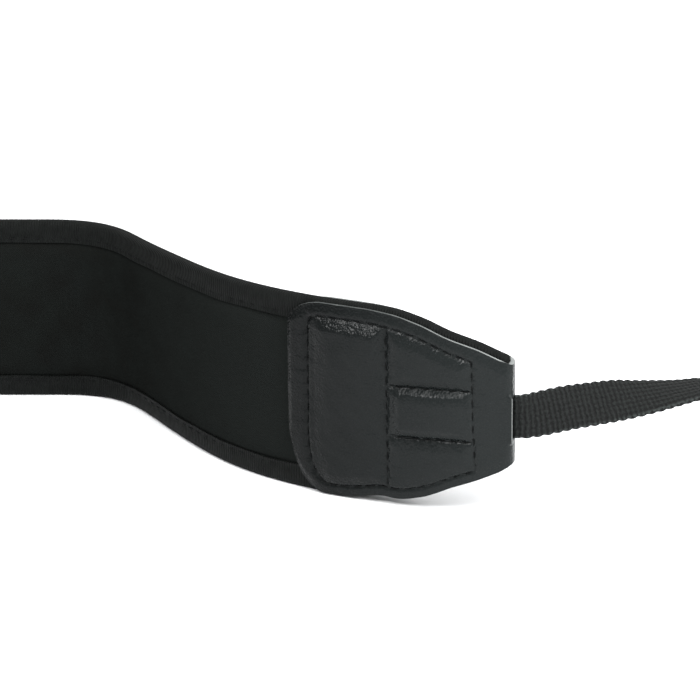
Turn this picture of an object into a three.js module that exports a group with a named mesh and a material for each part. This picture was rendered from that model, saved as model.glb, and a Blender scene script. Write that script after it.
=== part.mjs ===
// A camera neck strap standing on its lower edge: a soft pad bound with tape along both
// edges, a leather patch folded round each end of it, and a webbing that leaves each fold,
// twists flat, comes down to the surface and ends in a loop held by a slider.
// Millimetres and degrees, +Z up. The strap is the same on both sides of the plane X = 0.
import * as THREE from "three";

// The pad: a foam band, thinner where it is bound and where the patches are sewn on.
const halfLength = 211.7; // from the middle of the pad to the outside of a patch's fold
const padWidth = 44.3;
const padThickness = 4.4;
const sewnThickness = 2.9; // under the patch
const pinchedThickness = 2.0; // under the patch, behind the webbing
const boundThickness = 1.3; // inside the binding
const padEndInset = 12; // from the fold's centre back to the end of the pad
const shoulderWidth = 2.4; // over which the pad swells beside its binding
const thinning = 9; // over which it gets thinner towards a patch
const pinching = 4; // over which it gets thinner again, towards the webbing

// The binding: a knitted tape folded over each edge of the pad.
const tapeThickness = 0.7;
const tapeDepth = 5.6; // of each of its two faces
const tapeEndInset = 2.4; // from the fold's centre back to its end, which runs on past the foam
const roundedEdge = 0.8; // of the folded tape

// The leather patch at each end, folded round the webbing.
const patchLength = 47; // from the fold's centre to the free edge
const leatherThickness = 1.1;
const patchInset = 0.9; // of its long edges from the pad's
const cornerLength = 8.5; // of the free end's rounded corners, along the patch
const upperCorner = 5.5; // how far down the upper one reaches
const lowerCorner = 17; // how far up the lower one reaches
const hemWidth = 3.4; // from an edge to the row of stitches beside it
const crossSeam = 23.5; // from the fold's centre to the seam where the webbing starts
const endSeam = 4.9; // from the fold's centre to the seam next to it
const puff = 0.9; // how far the leather swells between its seams
const seamRise = 2.2; // over which it swells from a seam
const panelShare = 0.6; // of that swelling, in the panels beside the webbing
const slotDrop = 0.5; // of the webbing's slot below the middle of the fold

// The webbing and the slider on it.
const webbingWidth = 9.4;
const webbingThickness = 1.3;
const webbingSewn = 1.5; // of its end under the patch, short of the seam
const webbingRun = 262; // measured on the surface, from the fold to the slider's centre
const tailLength = 38; // from the slider's centre to the end of the webbing
const tailClimb = 7; // over which the upper layer rises onto the tail
const loopReach = 24; // from the slider's centre to the centre of the loop's eye
const eyeRadius = 3.6; // inside the loop
const sliderLength = 15.5;
const sliderThickness = 1.6;
const sliderRail = 2.2; // width of its outer bars and side rails
const sliderBar = 2.4; // width of its middle bar
const sliderDrop = 2.6; // of its middle bar below the outer ones

// Gaps that keep neighbouring pieces apart.
const layerGap = 0.15;
const slotClearance = 0.3;
const bendClearance = 0.5; // over the doubled webbing, where it bends under the slider

// The way the band stands, as seen from above: its heading, how far its top leans to the
// front and how steeply its end rises, at shares of half its length.
const bandWay = [
  { at: 0, heading: 0, lean: 0, rise: 0 },
  { at: 0.366, heading: 0, lean: 0, rise: 0 },
  { at: 0.508, heading: -56, lean: 3, rise: 0 },
  { at: 0.61, heading: -53, lean: 1.5, rise: 0 },
  { at: 0.762, heading: -31, lean: 0, rise: 0 },
  { at: 0.864, heading: -20, lean: 0, rise: 1.2 },
  { at: 0.95, heading: -18, lean: 0, rise: 3.4 },
  { at: 1, heading: -17, lean: 0, rise: 0.5 },
];

// The way of the webbing, at shares of its run: its heading, its height as a share of the
// height it leaves the fold at, and its twist from standing on edge to lying flat.
const webbingWay = [
  { at: 0, heading: -4, height: 1, twist: 0 },
  { at: 0.015, heading: 18, height: 1.005, twist: 12 },
  { at: 0.05, heading: 19, height: 1.035, twist: 33 },
  { at: 0.088, heading: 20, height: 1.04, twist: 47 },
  { at: 0.12, heading: 20.5, height: 1.035, twist: 68 },
  { at: 0.165, heading: 21, height: 1.04, twist: 87 },
  { at: 0.28, heading: 38, height: 0.55, twist: 90 },
  { at: 0.38, heading: 52, height: 0.08, twist: 90 },
  { at: 0.44, heading: 60, height: 0, twist: 90 },
  { at: 0.8, heading: 90, height: 0, twist: 90 },
  { at: 1, heading: 90, height: 0, twist: 90 },
];

// Half the height of a patch, as a share of half its full height, at shares of its length
// from the fold.
const patchOutline = [
  { at: 0, height: 0.545 },
  { at: 0.1, height: 0.665 },
  { at: 0.22, height: 0.76 },
  { at: 0.36, height: 0.892 },
  { at: 0.5, height: 0.972 },
  { at: 0.62, height: 0.995 },
  { at: 0.8, height: 1 },
  { at: 1, height: 1 },
];

const colours = {
  foam: 0x1f2120,
  tape: 0x262827,
  leather: 0x313434,
  webbing: 0x363938,
  plastic: 0x1b1c1d,
};

// Sizes that follow from the ones above.
const halfWidth = padWidth / 2;
const boundHalf = boundThickness / 2 + layerGap + tapeThickness; // outside of the binding
const coreHalf = halfWidth - tapeThickness - layerGap; // half the foam's own width
const leafInside = boundHalf + layerGap; // from the middle of the band to a patch's leaf
const foldInside = leafInside;
const foldOutside = foldInside + leatherThickness;
const foldAt = halfLength - foldOutside; // the fold's centre, along the band
const slotHalf = webbingWidth / 2 + slotClearance;
const patchHalf = halfWidth - patchInset;
const webbingOffset = pinchedThickness / 2 + layerGap + webbingThickness / 2;
const webbingStart = crossSeam - webbingSewn; // its sewn end, from the fold's centre
const webbingCover = webbingStart + 3 * layerGap; // where the patch comes down behind it
const layerPitch = webbingThickness + layerGap; // between the two layers at the slider
const eyeBend = eyeRadius + webbingThickness / 2; // radius of the loop's middle line

const { degToRad: radians, smoothstep: smooth, lerp, clamp } = THREE.MathUtils;
const range = (from, to, steps) =>
  Array.from({ length: steps + 1 }, (_, i) => from + ((to - from) * i) / steps);

// A column of a table at a share, along a curve that never overshoots its rows.
function tableValue(rows, column, at) {
  const last = rows.length - 1;
  if (at <= rows[0].at) return rows[0][column];
  if (at >= rows[last].at) return rows[last][column];
  const i = rows.findIndex((row) => row.at > at) - 1;
  const slope = (k) =>
    (rows[k + 1][column] - rows[k][column]) / (rows[k + 1].at - rows[k].at);
  const tangent = (k) => {
    if (k === 0) return slope(0);
    if (k === last) return slope(last - 1);
    const before = slope(k - 1);
    const after = slope(k);
    return before * after <= 0 ? 0 : (2 * before * after) / (before + after);
  };
  const span = rows[i + 1].at - rows[i].at;
  const t = (at - rows[i].at) / span;
  return (
    rows[i][column] * (1 + 2 * t) * (1 - t) ** 2 +
    rows[i + 1][column] * t * t * (3 - 2 * t) +
    span * (tangent(i) * t * (1 - t) ** 2 - tangent(i + 1) * t * t * (1 - t))
  );
}

// A way over the surface, walked in small steps: the point reached and the height climbed
// at each one.
function walk(rows, length, start = new THREE.Vector2(), step = 0.5) {
  const count = Math.ceil(length / step);
  const points = [{ x: start.x, y: start.y, climb: 0 }];
  for (let k = 0; k < count; k++) {
    const middle = (k + 0.5) / count;
    const heading = radians(tableValue(rows, "heading", middle));
    const rise = radians(tableValue(rows, "rise", middle) || 0);
    const last = points[k];
    points.push({
      x: last.x + (Math.cos(heading) * length) / count,
      y: last.y + (Math.sin(heading) * length) / count,
      climb: last.climb + (Math.tan(rise) * length) / count,
    });
  }
  return (share) => {
    const k = clamp(share, 0, 1) * count;
    const low = Math.min(Math.floor(k), count - 1);
    const mix = (name) => lerp(points[low][name], points[low + 1][name], k - low);
    return { x: mix("x"), y: mix("y"), climb: mix("climb") };
  };
}

const bandWalk = walk(bandWay, halfLength);

// The band's frame at a distance from its middle, which is negative on the left: its
// centre, and the directions along it, up its width and out of its front.
function bandFrame(distance) {
  const share = Math.abs(distance) / halfLength;
  const heading = radians(tableValue(bandWay, "heading", share));
  const rise = radians(tableValue(bandWay, "rise", share));
  const lean = radians(tableValue(bandWay, "lean", share));
  const place = bandWalk(share);
  const along = new THREE.Vector3(Math.cos(heading), Math.sin(heading), Math.tan(rise)).normalize();
  const level = new THREE.Vector3(Math.sin(heading), -Math.cos(heading), 0);
  const upright = new THREE.Vector3().crossVectors(level, along);
  const up = upright.clone().multiplyScalar(Math.cos(lean)).addScaledVector(level, Math.sin(lean));
  const front = level.clone().multiplyScalar(Math.cos(lean)).addScaledVector(upright, -Math.sin(lean));
  const stand = halfWidth * Math.cos(lean) + boundHalf * Math.abs(Math.sin(lean));
  const centre = new THREE.Vector3(place.x, place.y, stand + place.climb);
  if (distance < 0) {
    for (const v of [centre, up, front]) v.x *= -1;
    along.set(along.x, -along.y, -along.z);
  }
  return { centre, along, up, front };
}

// A point of the band, by its distance from the middle, its height above the centre line
// and its offset to the front.
function bandPoint(distance, height, offset) {
  const frame = bandFrame(distance);
  return frame.centre
    .clone()
    .addScaledVector(frame.up, height)
    .addScaledVector(frame.front, offset);
}

// A closed wall between two grids of points with the same rows and columns. A cell for
// which isOpen(row, column) is true is a hole through it.
function wallBetween(front, back, isOpen = () => false) {
  const rows = front.length;
  const columns = front[0].length;
  const positions = [...front, ...back].flat().flatMap((p) => [p.x, p.y, p.z]);
  const index = [];
  const near = (i, j) => i * columns + j;
  const far = (i, j) => rows * columns + i * columns + j;
  const solid = (i, j) => i >= 0 && j >= 0 && i < rows - 1 && j < columns - 1 && !isOpen(i, j);
  const quad = (a, b, c, d) => index.push(a, b, c, a, c, d);
  for (let i = 0; i < rows - 1; i++) {
    for (let j = 0; j < columns - 1; j++) {
      if (!solid(i, j)) continue;
      quad(near(i, j), near(i + 1, j), near(i + 1, j + 1), near(i, j + 1));
      quad(far(i, j), far(i, j + 1), far(i + 1, j + 1), far(i + 1, j));
      if (!solid(i, j - 1)) quad(near(i, j), far(i, j), far(i + 1, j), near(i + 1, j));
      if (!solid(i, j + 1)) quad(near(i + 1, j + 1), far(i + 1, j + 1), far(i, j + 1), near(i, j + 1));
      if (!solid(i - 1, j)) quad(near(i, j + 1), far(i, j + 1), far(i, j), near(i, j));
      if (!solid(i + 1, j)) quad(near(i + 1, j), far(i + 1, j), far(i + 1, j + 1), near(i + 1, j + 1));
    }
  }
  const geometry = new THREE.BufferGeometry();
  geometry.setAttribute("position", new THREE.Float32BufferAttribute(positions, 3));
  geometry.setIndex(index);
  return geometry;
}

// The same solid on the other side of the plane X = 0.
function mirrored(geometry) {
  const copy = geometry.clone().scale(-1, 1, 1);
  const index = copy.index.array;
  for (let i = 0; i < index.length; i += 3) {
    [index[i + 1], index[i + 2]] = [index[i + 2], index[i + 1]];
  }
  return copy;
}

// Half the height of a patch at a distance from its fold's centre, without its corners.
function outlineHalf(fromFold, fullHalf) {
  return fullHalf * tableValue(patchOutline, "height", Math.max(0, fromFold) / patchLength);
}

// How much of the band's half width is left at a distance from the middle.
function taper(distance) {
  return outlineHalf(foldAt - Math.abs(distance), halfWidth) / halfWidth;
}

// Half the foam's thickness at its centre line.
function foamHalf(distance) {
  const fromFold = foldAt - Math.abs(distance);
  const pastSeam = smooth(fromFold, crossSeam, crossSeam + pinching);
  const pastPatch = smooth(fromFold, patchLength, patchLength + thinning);
  const sewn = lerp(pinchedThickness, sewnThickness, pastSeam);
  return lerp(sewn, padThickness, pastPatch) / 2;
}

// Where the pad is cut into sections: close together only where it bends or tapers.
function padStations() {
  const [, straightEnd, bendEnd] = bandWay.map((row) => row.at * halfLength);
  const patchEdge = foldAt - patchLength;
  const pinched = foldAt - crossSeam;
  const half = [
    ...range(0, straightEnd, 2),
    ...range(straightEnd, bendEnd, 7).slice(1),
    ...range(bendEnd, patchEdge - thinning, 6).slice(1),
    ...range(patchEdge - thinning, patchEdge, 3).slice(1),
    ...range(patchEdge, pinched - pinching, 2).slice(1),
    ...range(pinched - pinching, foldAt - padEndInset, 5).slice(1),
  ];
  return [...half.slice(1).map((s) => -s).reverse(), ...half];
}

// The foam pad: swollen between its bindings and flat inside them.
function foamPad() {
  const grid = (side) =>
    padStations().map((s) => {
      const shrink = halfWidth * (1 - taper(s));
      const tapeEdge = halfWidth - tapeDepth - layerGap - shrink;
      const shoulder = tapeEdge - shoulderWidth;
      const profile = [
        { height: coreHalf - shrink, half: boundThickness / 2 },
        { height: tapeEdge, half: boundThickness / 2 },
        { height: (tapeEdge + shoulder) / 2, half: foamHalf(s) * 0.75 },
        { height: shoulder, half: foamHalf(s) * 0.93 },
        { height: shoulder / 2, half: foamHalf(s) },
      ];
      const lower = profile.map((p) => ({ ...p, height: -p.height }));
      return [...lower, ...profile.reverse()].map((p) => bandPoint(s, p.height, side * p.half));
    });
  return wallBetween(grid(1), grid(-1));
}

// A binding tape, folded over the upper edge (side 1) or the lower edge (side -1).
function bindingTape(side) {
  const inside = boundThickness / 2 + layerGap;
  const section = (shrink, thick) => {
    const edge = halfWidth - shrink - (tapeThickness - thick);
    const inner = halfWidth - shrink - tapeDepth;
    const out = inside + thick;
    const round = thick > 0 ? roundedEdge : 0.01;
    return [
      [inner, out],
      [edge - round, out],
      [edge, out - round],
      [edge, round - out],
      [edge - round, -out],
      [inner, -out],
    ];
  };
  const padEnd = foldAt - padEndInset;
  const past = range(padEnd, foldAt - tapeEndInset, 3).slice(1);
  const stations = [...past.map((s) => -s).reverse(), ...padStations(), ...past];
  const grid = (thick) =>
    stations.map((s) => {
      const shrink = halfWidth * (1 - taper(s));
      const points = section(shrink, thick).map(([height, offset]) => bandPoint(s, side * height, offset));
      return side > 0 ? points : points.reverse();
    });
  return wallBetween(grid(tapeThickness), grid(0));
}

// How far a leaf of a patch swells above its seams. The front leaf also covers the webbing.
function leafRelief(fromFold, height, half, isFront) {
  const hem = Math.min(half - Math.abs(height), patchLength - fromFold);
  const swell = puff * smooth(hem, hemWidth, hemWidth + seamRise);
  if (fromFold > crossSeam) return swell * smooth(fromFold, crossSeam, crossSeam + seamRise);
  const panel = smooth(crossSeam - fromFold, 0, seamRise) * smooth(fromFold, endSeam, endSeam + seamRise);
  const fromSlot = Math.abs(height + slotDrop) - slotHalf;
  const beside = isFront ? smooth(fromSlot, 0, seamRise) : 1;
  return panelShare * swell * panel * beside;
}

// The distance from the middle of the band to the inside of a patch's leaf.
function leafInner(fromFold, height, half, isFront) {
  const free = leafInside + leafRelief(fromFold, height, half, isFront);
  const overWebbing = Math.abs(height + slotDrop) < slotHalf + layerGap && fromFold < webbingCover;
  if (!isFront || !overWebbing) return free;
  return Math.max(free, webbingShift(fromFold) + webbingThickness / 2 + layerGap);
}

// How far the webbing lies in front of the band's middle, at a distance from the fold.
function webbingShift(fromFold) {
  return webbingOffset * smooth(fromFold, 0, padEndInset - 1);
}

// The heights at which a patch is divided, at a distance from the fold: its edges, its
// hems and the slot's edges. The corners cut some of it away at the free end.
function leafHeights(fromFold, round) {
  const side = (way, corner) => {
    const whole = outlineHalf(fromFold, patchHalf);
    const half = whole - corner * round;
    const hem = whole - hemWidth;
    const slot = slotHalf - way * slotDrop;
    const rise = Math.min(seamRise, 0.4 * (hem - slot));
    const lines = [whole, hem, hem - rise, (hem + slot) / 2, slot + rise / 2, slot];
    return lines.map((height) => ({ height: (way * height * half) / whole, half }));
  };
  const middle = { height: -slotDrop, half: outlineHalf(fromFold, patchHalf) };
  return [...side(-1, lowerCorner), middle, ...side(1, upperCorner).reverse()];
}

// The leather patch: its front leaf, the fold with the webbing's slot, and its back leaf.
function leatherPatch() {
  const corner = range(90, 0, 5).map((angle) => ({
    fromFold: patchLength - cornerLength * (1 - Math.sin(radians(angle))),
    round: 1 - Math.cos(radians(angle)),
  }));
  const along = [
    (patchLength - cornerLength + crossSeam) / 2,
    crossSeam + seamRise,
    crossSeam + seamRise / 2,
    crossSeam,
    webbingCover - layerGap,
    crossSeam - 2 * seamRise,
    padEndInset + seamRise,
    padEndInset - 1,
    padEndInset - 3,
    endSeam + seamRise,
    endSeam + seamRise / 2,
    endSeam,
    endSeam * 0.6,
    endSeam * 0.3,
    endSeam * 0.06,
  ].map((fromFold) => ({ fromFold, round: 0 }));
  const leaf = [...corner, ...along];
  const rows = [
    ...leaf.map((row) => ({ ...row, side: 1 })),
    ...range(0, 180, 6).map((angle) => ({ fromFold: 0, round: 0, angle })),
    ...leaf.map((row) => ({ ...row, side: -1 })).reverse(),
  ];
  const foldFrame = bandFrame(foldAt);
  const grid = (isOutside) =>
    rows.map(({ fromFold, round, side, angle }) =>
      leafHeights(fromFold, round).map(({ height, half }) => {
        if (angle !== undefined) {
          const reach = isOutside ? foldOutside : foldInside;
          const ahead = reach * Math.sin(radians(angle));
          const turned = bandPoint(foldAt, height, reach * Math.cos(radians(angle)));
          return turned.addScaledVector(foldFrame.along, ahead);
        }
        const inner = leafInner(fromFold, height, half, side > 0);
        const offset = inner + (isOutside ? leatherThickness : 0);
        return bandPoint(foldAt - fromFold, height, side * offset);
      }),
    );
  const firstFold = rows.findIndex((row) => row.angle === 0);
  const slotColumns = [5, 6];
  const isSlot = (i, j) => i > firstFold + 1 && i < firstFold + 4 && slotColumns.includes(j);
  return wallBetween(grid(true), grid(false), isSlot);
}

// The middle line of the webbing outside the patch, and its frame, at a share of its run.
const fold = bandFrame(foldAt);
const exitPoint = fold.centre
  .clone()
  .addScaledVector(fold.along, foldOutside)
  .addScaledVector(fold.up, -slotDrop);
const webbingWalk = walk(webbingWay, webbingRun, exitPoint);

function webbingHeight(share) {
  const drop = exitPoint.z - webbingThickness / 2;
  return webbingThickness / 2 + drop * tableValue(webbingWay, "height", share);
}

function webbingFrame(share) {
  const small = 1e-3;
  const place = webbingWalk(share);
  const heading = radians(tableValue(webbingWay, "heading", share));
  const twist = radians(tableValue(webbingWay, "twist", share));
  const climb = (webbingHeight(share + small) - webbingHeight(share - small)) / (2 * small * webbingRun);
  const along = new THREE.Vector3(Math.cos(heading), Math.sin(heading), climb).normalize();
  const left = new THREE.Vector3(-Math.sin(heading), Math.cos(heading), 0);
  const upright = new THREE.Vector3().crossVectors(along, left);
  return {
    centre: new THREE.Vector3(place.x, place.y, webbingHeight(share)),
    across: upright.clone().multiplyScalar(Math.cos(twist)).addScaledVector(left, Math.sin(twist)),
    face: left.clone().multiplyScalar(-Math.cos(twist)).addScaledVector(upright, Math.sin(twist)),
  };
}

// The slider's frame on the surface: its centre and the direction the webbing runs in.
const sliderPlace = webbingWalk(1);
const endHeading = radians(tableValue(webbingWay, "heading", 1));
const ahead = new THREE.Vector3(Math.cos(endHeading), Math.sin(endHeading), 0);
const aside = new THREE.Vector3(-Math.sin(endHeading), Math.cos(endHeading), 0);
const surfaceUp = new THREE.Vector3(0, 0, 1);

function endPoint(forward, sideways, height) {
  return new THREE.Vector3(sliderPlace.x, sliderPlace.y, 0)
    .addScaledVector(ahead, forward)
    .addScaledVector(aside, sideways)
    .addScaledVector(surfaceUp, height);
}

// Both layers of the webbing pass under the slider's outer bars and over its middle bar.
const outerBarHeight = 2 * layerPitch + bendClearance; // their underside
const humpRise = outerBarHeight - sliderDrop + sliderThickness + layerGap;
const humpLength = sliderLength - sliderRail;
function humpHeight(forward) {
  const down = smooth(Math.abs(forward), sliderBar / 2 + layerGap, humpLength / 2);
  return webbingThickness / 2 + humpRise * (1 - down);
}

// A point of a layer: the lower one, or the upper one that lies on it.
function layerPoint(forward, lift) {
  const small = 1e-3;
  const slope = (humpHeight(forward + small) - humpHeight(forward - small)) / (2 * small);
  const length = Math.hypot(1, slope);
  return {
    forward: forward - (lift * slope) / length,
    height: humpHeight(forward) + lift / length,
  };
}

// The webbing's doubled end, seen from its side: over the slider, round the loop and back.
function endProfile() {
  const humpEnd = humpLength / 2 + 1;
  const eyeHeight = webbingThickness / 2 + eyeBend;
  const upperHeight = webbingThickness / 2 + layerPitch;
  const climbEnd = -tailLength - layerGap;
  const climb = range(climbEnd - tailClimb, climbEnd, 4).map((forward) => ({
    forward,
    height: upperHeight - layerPitch * (1 - smooth(forward, climbEnd - tailClimb, climbEnd)),
  }));
  const upper = range(-humpEnd, humpEnd, 18).map((f) => layerPoint(f, layerPitch));
  const swell = range(humpEnd, loopReach, 7).slice(1).map((forward) => ({
    forward,
    height: lerp(upperHeight, eyeHeight + eyeBend, smooth(forward, humpEnd, loopReach + 1)),
  }));
  const eye = range(70, -90, 10).map((angle) => ({
    forward: loopReach + eyeBend * Math.cos(radians(angle)),
    height: eyeHeight + eyeBend * Math.sin(radians(angle)),
  }));
  const lower = range(humpEnd, -humpEnd, 18).map((f) => layerPoint(f, 0));
  const tail = [{ forward: -tailLength, height: webbingThickness / 2 }];
  return [...climb, ...upper, ...swell, ...eye, ...lower, ...tail];
}

// The webbing, from its sewn end inside the patch to the end of its tail.
function webbingBand() {
  const frames = range(webbingStart, -foldOutside + 0.8, 9).map((fromFold) => {
    const band = bandFrame(foldAt - Math.max(fromFold, 0));
    const centre = band.centre
      .clone()
      .addScaledVector(band.up, -slotDrop)
      .addScaledVector(band.front, webbingShift(fromFold))
      .addScaledVector(band.along, Math.max(-fromFold, 0));
    return { centre, across: band.up, face: band.front };
  });
  const twisted = webbingWay[4].at;
  const landed = webbingWay[7].at;
  const doubled = 1 - (tailLength + tailClimb + 1) / webbingRun;
  const shares = [
    ...range(0.002, twisted, 18),
    ...range(twisted, landed, 14).slice(1),
    ...range(landed, doubled, 9).slice(1),
  ];
  frames.push(...shares.map(webbingFrame));
  const profile = endProfile();
  profile.forEach((p, k) => {
    const before = profile[Math.max(k - 1, 0)];
    const after = profile[Math.min(k + 1, profile.length - 1)];
    const direction = new THREE.Vector2(after.forward - before.forward, after.height - before.height).normalize();
    const face = ahead.clone().multiplyScalar(-direction.y).addScaledVector(surfaceUp, direction.x);
    frames.push({ centre: endPoint(p.forward, 0, p.height), across: aside, face });
  });
  const grid = (side) =>
    frames.map((f) =>
      [-1, 1].map((edge) =>
        f.centre
          .clone()
          .addScaledVector(f.across, (edge * webbingWidth) / 2)
          .addScaledVector(f.face, (side * webbingThickness) / 2),
      ),
    );
  return wallBetween(grid(1), grid(-1));
}

// The slider: two outer bars above the webbing and a middle bar below it, in one frame.
function slider() {
  const openHalf = webbingWidth / 2 + slotClearance;
  const sides = [-openHalf - sliderRail, -openHalf, openHalf, openHalf + sliderRail];
  const stops = [
    { forward: -sliderLength / 2, drop: 0 },
    { forward: -sliderLength / 2 + sliderRail, drop: 0 },
    { forward: -sliderBar / 2, drop: 1 },
    { forward: sliderBar / 2, drop: 1 },
    { forward: sliderLength / 2 - sliderRail, drop: 0 },
    { forward: sliderLength / 2, drop: 0 },
  ];
  const grid = (lift) =>
    stops.map((stop) =>
      sides.map((side) => endPoint(stop.forward, side, outerBarHeight + lift - stop.drop * sliderDrop)),
    );
  const isSlot = (i, j) => j === 1 && (i === 1 || i === 3);
  return wallBetween(grid(sliderThickness), grid(0), isSlot);
}

function piece(name, geometry, colour, roughness, metalness = 0) {
  const material = new THREE.MeshStandardMaterial({ color: colour, roughness, metalness });
  const mesh = new THREE.Mesh(geometry, material);
  mesh.name = name;
  return mesh;
}

const strap = new THREE.Group();
strap.add(piece("neck_pad", foamPad(), colours.foam, 0.95));
strap.add(piece("upper_binding", bindingTape(1), colours.tape, 0.9));
strap.add(piece("lower_binding", bindingTape(-1), colours.tape, 0.9));
for (const [side, place] of [["right", (g) => g], ["left", mirrored]]) {
  strap.add(piece(`${side}_end_patch`, place(leatherPatch()), colours.leather, 0.55));
  strap.add(piece(`${side}_webbing`, place(webbingBand()), colours.webbing, 0.85));
  strap.add(piece(`${side}_slider`, place(slider()), colours.plastic, 0.4));
}

// The origin is on the surface, in the middle of the ground that the strap covers.
const extent = new THREE.Box3().setFromObject(strap);
const origin = extent.getCenter(new THREE.Vector3()).setZ(extent.min.z);
strap.position.copy(origin).negate();

export default strap;
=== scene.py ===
"""A camera neck strap standing on its lower edge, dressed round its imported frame.

A foam pad faced with jersey is bound with ribbed tape along both edges. A patch of pebbled
leather is folded round each end of it and sewn through, with a slot in its fold for the
webbing. The webbing twists flat, comes down to the floor and ends in a loop that a moulded
slider holds. Sizes are in millimetres, and meshes are made in metres.
"""

import logging
from dataclasses import dataclass, field
from enum import Enum
from math import asin, cos, pi, radians, sin
from typing import Any, ClassVar

import bpy
import numpy as np
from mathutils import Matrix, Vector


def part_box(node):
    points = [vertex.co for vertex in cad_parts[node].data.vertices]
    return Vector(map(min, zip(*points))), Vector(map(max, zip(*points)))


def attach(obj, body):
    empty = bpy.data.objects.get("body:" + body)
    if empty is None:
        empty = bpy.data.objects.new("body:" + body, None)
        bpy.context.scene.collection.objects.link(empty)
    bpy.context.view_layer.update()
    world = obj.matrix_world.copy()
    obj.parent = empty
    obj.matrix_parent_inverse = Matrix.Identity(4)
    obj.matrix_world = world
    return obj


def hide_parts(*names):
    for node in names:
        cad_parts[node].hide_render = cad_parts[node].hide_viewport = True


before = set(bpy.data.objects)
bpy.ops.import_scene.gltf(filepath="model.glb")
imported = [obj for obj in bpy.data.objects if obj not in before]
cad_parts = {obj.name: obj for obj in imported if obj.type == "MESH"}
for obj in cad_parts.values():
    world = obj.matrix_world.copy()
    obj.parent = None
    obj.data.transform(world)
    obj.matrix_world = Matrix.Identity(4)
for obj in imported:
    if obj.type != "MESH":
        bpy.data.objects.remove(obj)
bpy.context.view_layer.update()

MM = 0.001
SHARP_TURN = radians(55)
UPWARD = np.array([0.0, 0.0, 1.0])
log = logging.getLogger("neck_strap")

Array = np.ndarray
Material = bpy.types.Material
Node = bpy.types.Node
Piece = bpy.types.Object
Socket = bpy.types.NodeSocket
Tree = bpy.types.NodeTree


# Numbers, curves and frames


def smooth(value: Any, low: float, high: float) -> Any:
    """Rises softly from 0 at low to 1 at high.

    Args:
        value: Number or array.
        low: Where the rise starts.
        high: Where it ends.

    Returns:
        A share from 0 to 1, shaped like value.
    """
    t = np.clip((np.asarray(value, float) - low) / (high - low), 0.0, 1.0)
    return t * t * (3 - 2 * t)


def srgb(colour: str) -> tuple[float, float, float, float]:
    """Turns an sRGB hex colour to linear light.

    Args:
        colour: Six hex digits after a hash sign.

    Returns:
        Red, green, blue and alpha for a shader's socket.
    """
    parts = [int(colour[i : i + 2], 16) / 255 for i in (1, 3, 5)]
    light = [c / 12.92 if c <= 0.04045 else ((c + 0.055) / 1.055) ** 2.4 for c in parts]
    return (light[0], light[1], light[2], 1.0)


class Curve:
    """A smooth curve through one column of a short table, which never overshoots its rows."""

    def __init__(self, rows: tuple[Any, ...], column: str) -> None:
        """Reads the column.

        Args:
            rows: The table, each row with a share called at.
            column: The name of the column to follow.
        """
        self.at = np.array([row.at for row in rows])
        self.value = np.array([getattr(row, column) for row in rows])
        slope = np.diff(self.value) / np.diff(self.at)
        product = slope[:-1] * slope[1:]
        total = slope[:-1] + slope[1:]
        inner = np.where(product > 0, 2 * product / np.where(product > 0, total, 1), 0)
        self.tangent = np.concatenate([slope[:1], inner, slope[-1:]])

    def __call__(self, share: Any) -> Any:
        """Reads the curve.

        Args:
            share: Number or array of shares.

        Returns:
            The curve's value at each share.
        """
        share = np.clip(np.asarray(share, float), self.at[0], self.at[-1])
        i = np.clip(np.searchsorted(self.at, share, side="right") - 1, 0, len(self.at) - 2)
        span = self.at[i + 1] - self.at[i]
        t = (share - self.at[i]) / span
        bend = self.tangent[i] * t * (1 - t) ** 2 - self.tangent[i + 1] * t * t * (1 - t)
        held = self.value[i] * (1 + 2 * t) * (1 - t) ** 2 + self.value[i + 1] * t * t * (3 - 2 * t)
        return held + span * bend


@dataclass(frozen=True)
class BandRow:
    """How the band stands at a share of half its length, in degrees."""

    at: float
    heading: float
    lean: float
    rise: float


@dataclass(frozen=True)
class WebbingRow:
    """How the webbing runs at a share of its run: degrees, and height as a share."""

    at: float
    heading: float
    height: float
    twist: float


@dataclass(frozen=True)
class OutlineRow:
    """Half a patch's height, as a share of the full one, at a share of its length."""

    at: float
    height: float


@dataclass(frozen=True)
class StrapSizes:
    """The sizes that several pieces share, within a millimetre of the frame's, in millimetres."""

    half_length: float = 211.7
    pad_width: float = 44.3
    pad_end_inset: float = 12.0
    bound_thickness: float = 1.3
    pinched_thickness: float = 2.0
    tape_thickness: float = 0.7
    tape_depth: float = 5.2
    leather_thickness: float = 1.1
    patch_length: float = 47.0
    cross_seam: float = 24.3
    end_seam: float = 5.5
    slot_drop: float = 0.5
    webbing_width: float = 9.4
    webbing_thickness: float = 1.3
    webbing_run: float = 262.0
    layer_gap: float = 0.15
    slot_clearance: float = 0.3
    fold_lift: float = 0.75
    fold_lift_reach: float = 28.0
    fold_slope: float = 0.36
    tuck: float = 1.1
    tuck_at: float = 26.5
    tuck_reach: float = 4.5

    @property
    def half_width(self) -> float:
        """Half the pad's width."""
        return self.pad_width / 2

    @property
    def bound_half(self) -> float:
        """From the band's middle to the outside of its binding."""
        return self.bound_thickness / 2 + self.layer_gap + self.tape_thickness

    @property
    def fold_inside(self) -> float:
        """Inner radius of a patch's fold."""
        return self.leaf_inside

    @property
    def fold_outside(self) -> float:
        """Outer radius of a patch's fold."""
        return self.fold_inside + self.leather_thickness

    @property
    def fold_at(self) -> float:
        """The fold's centre, along the band."""
        return self.half_length - self.fold_outside

    @property
    def slot_half(self) -> float:
        """Half the height of the slot in a fold."""
        return self.webbing_width / 2 + self.slot_clearance

    @property
    def leaf_inside(self) -> float:
        """From the band's middle to the inside of a patch's leaf."""
        return self.bound_half + self.layer_gap


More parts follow.
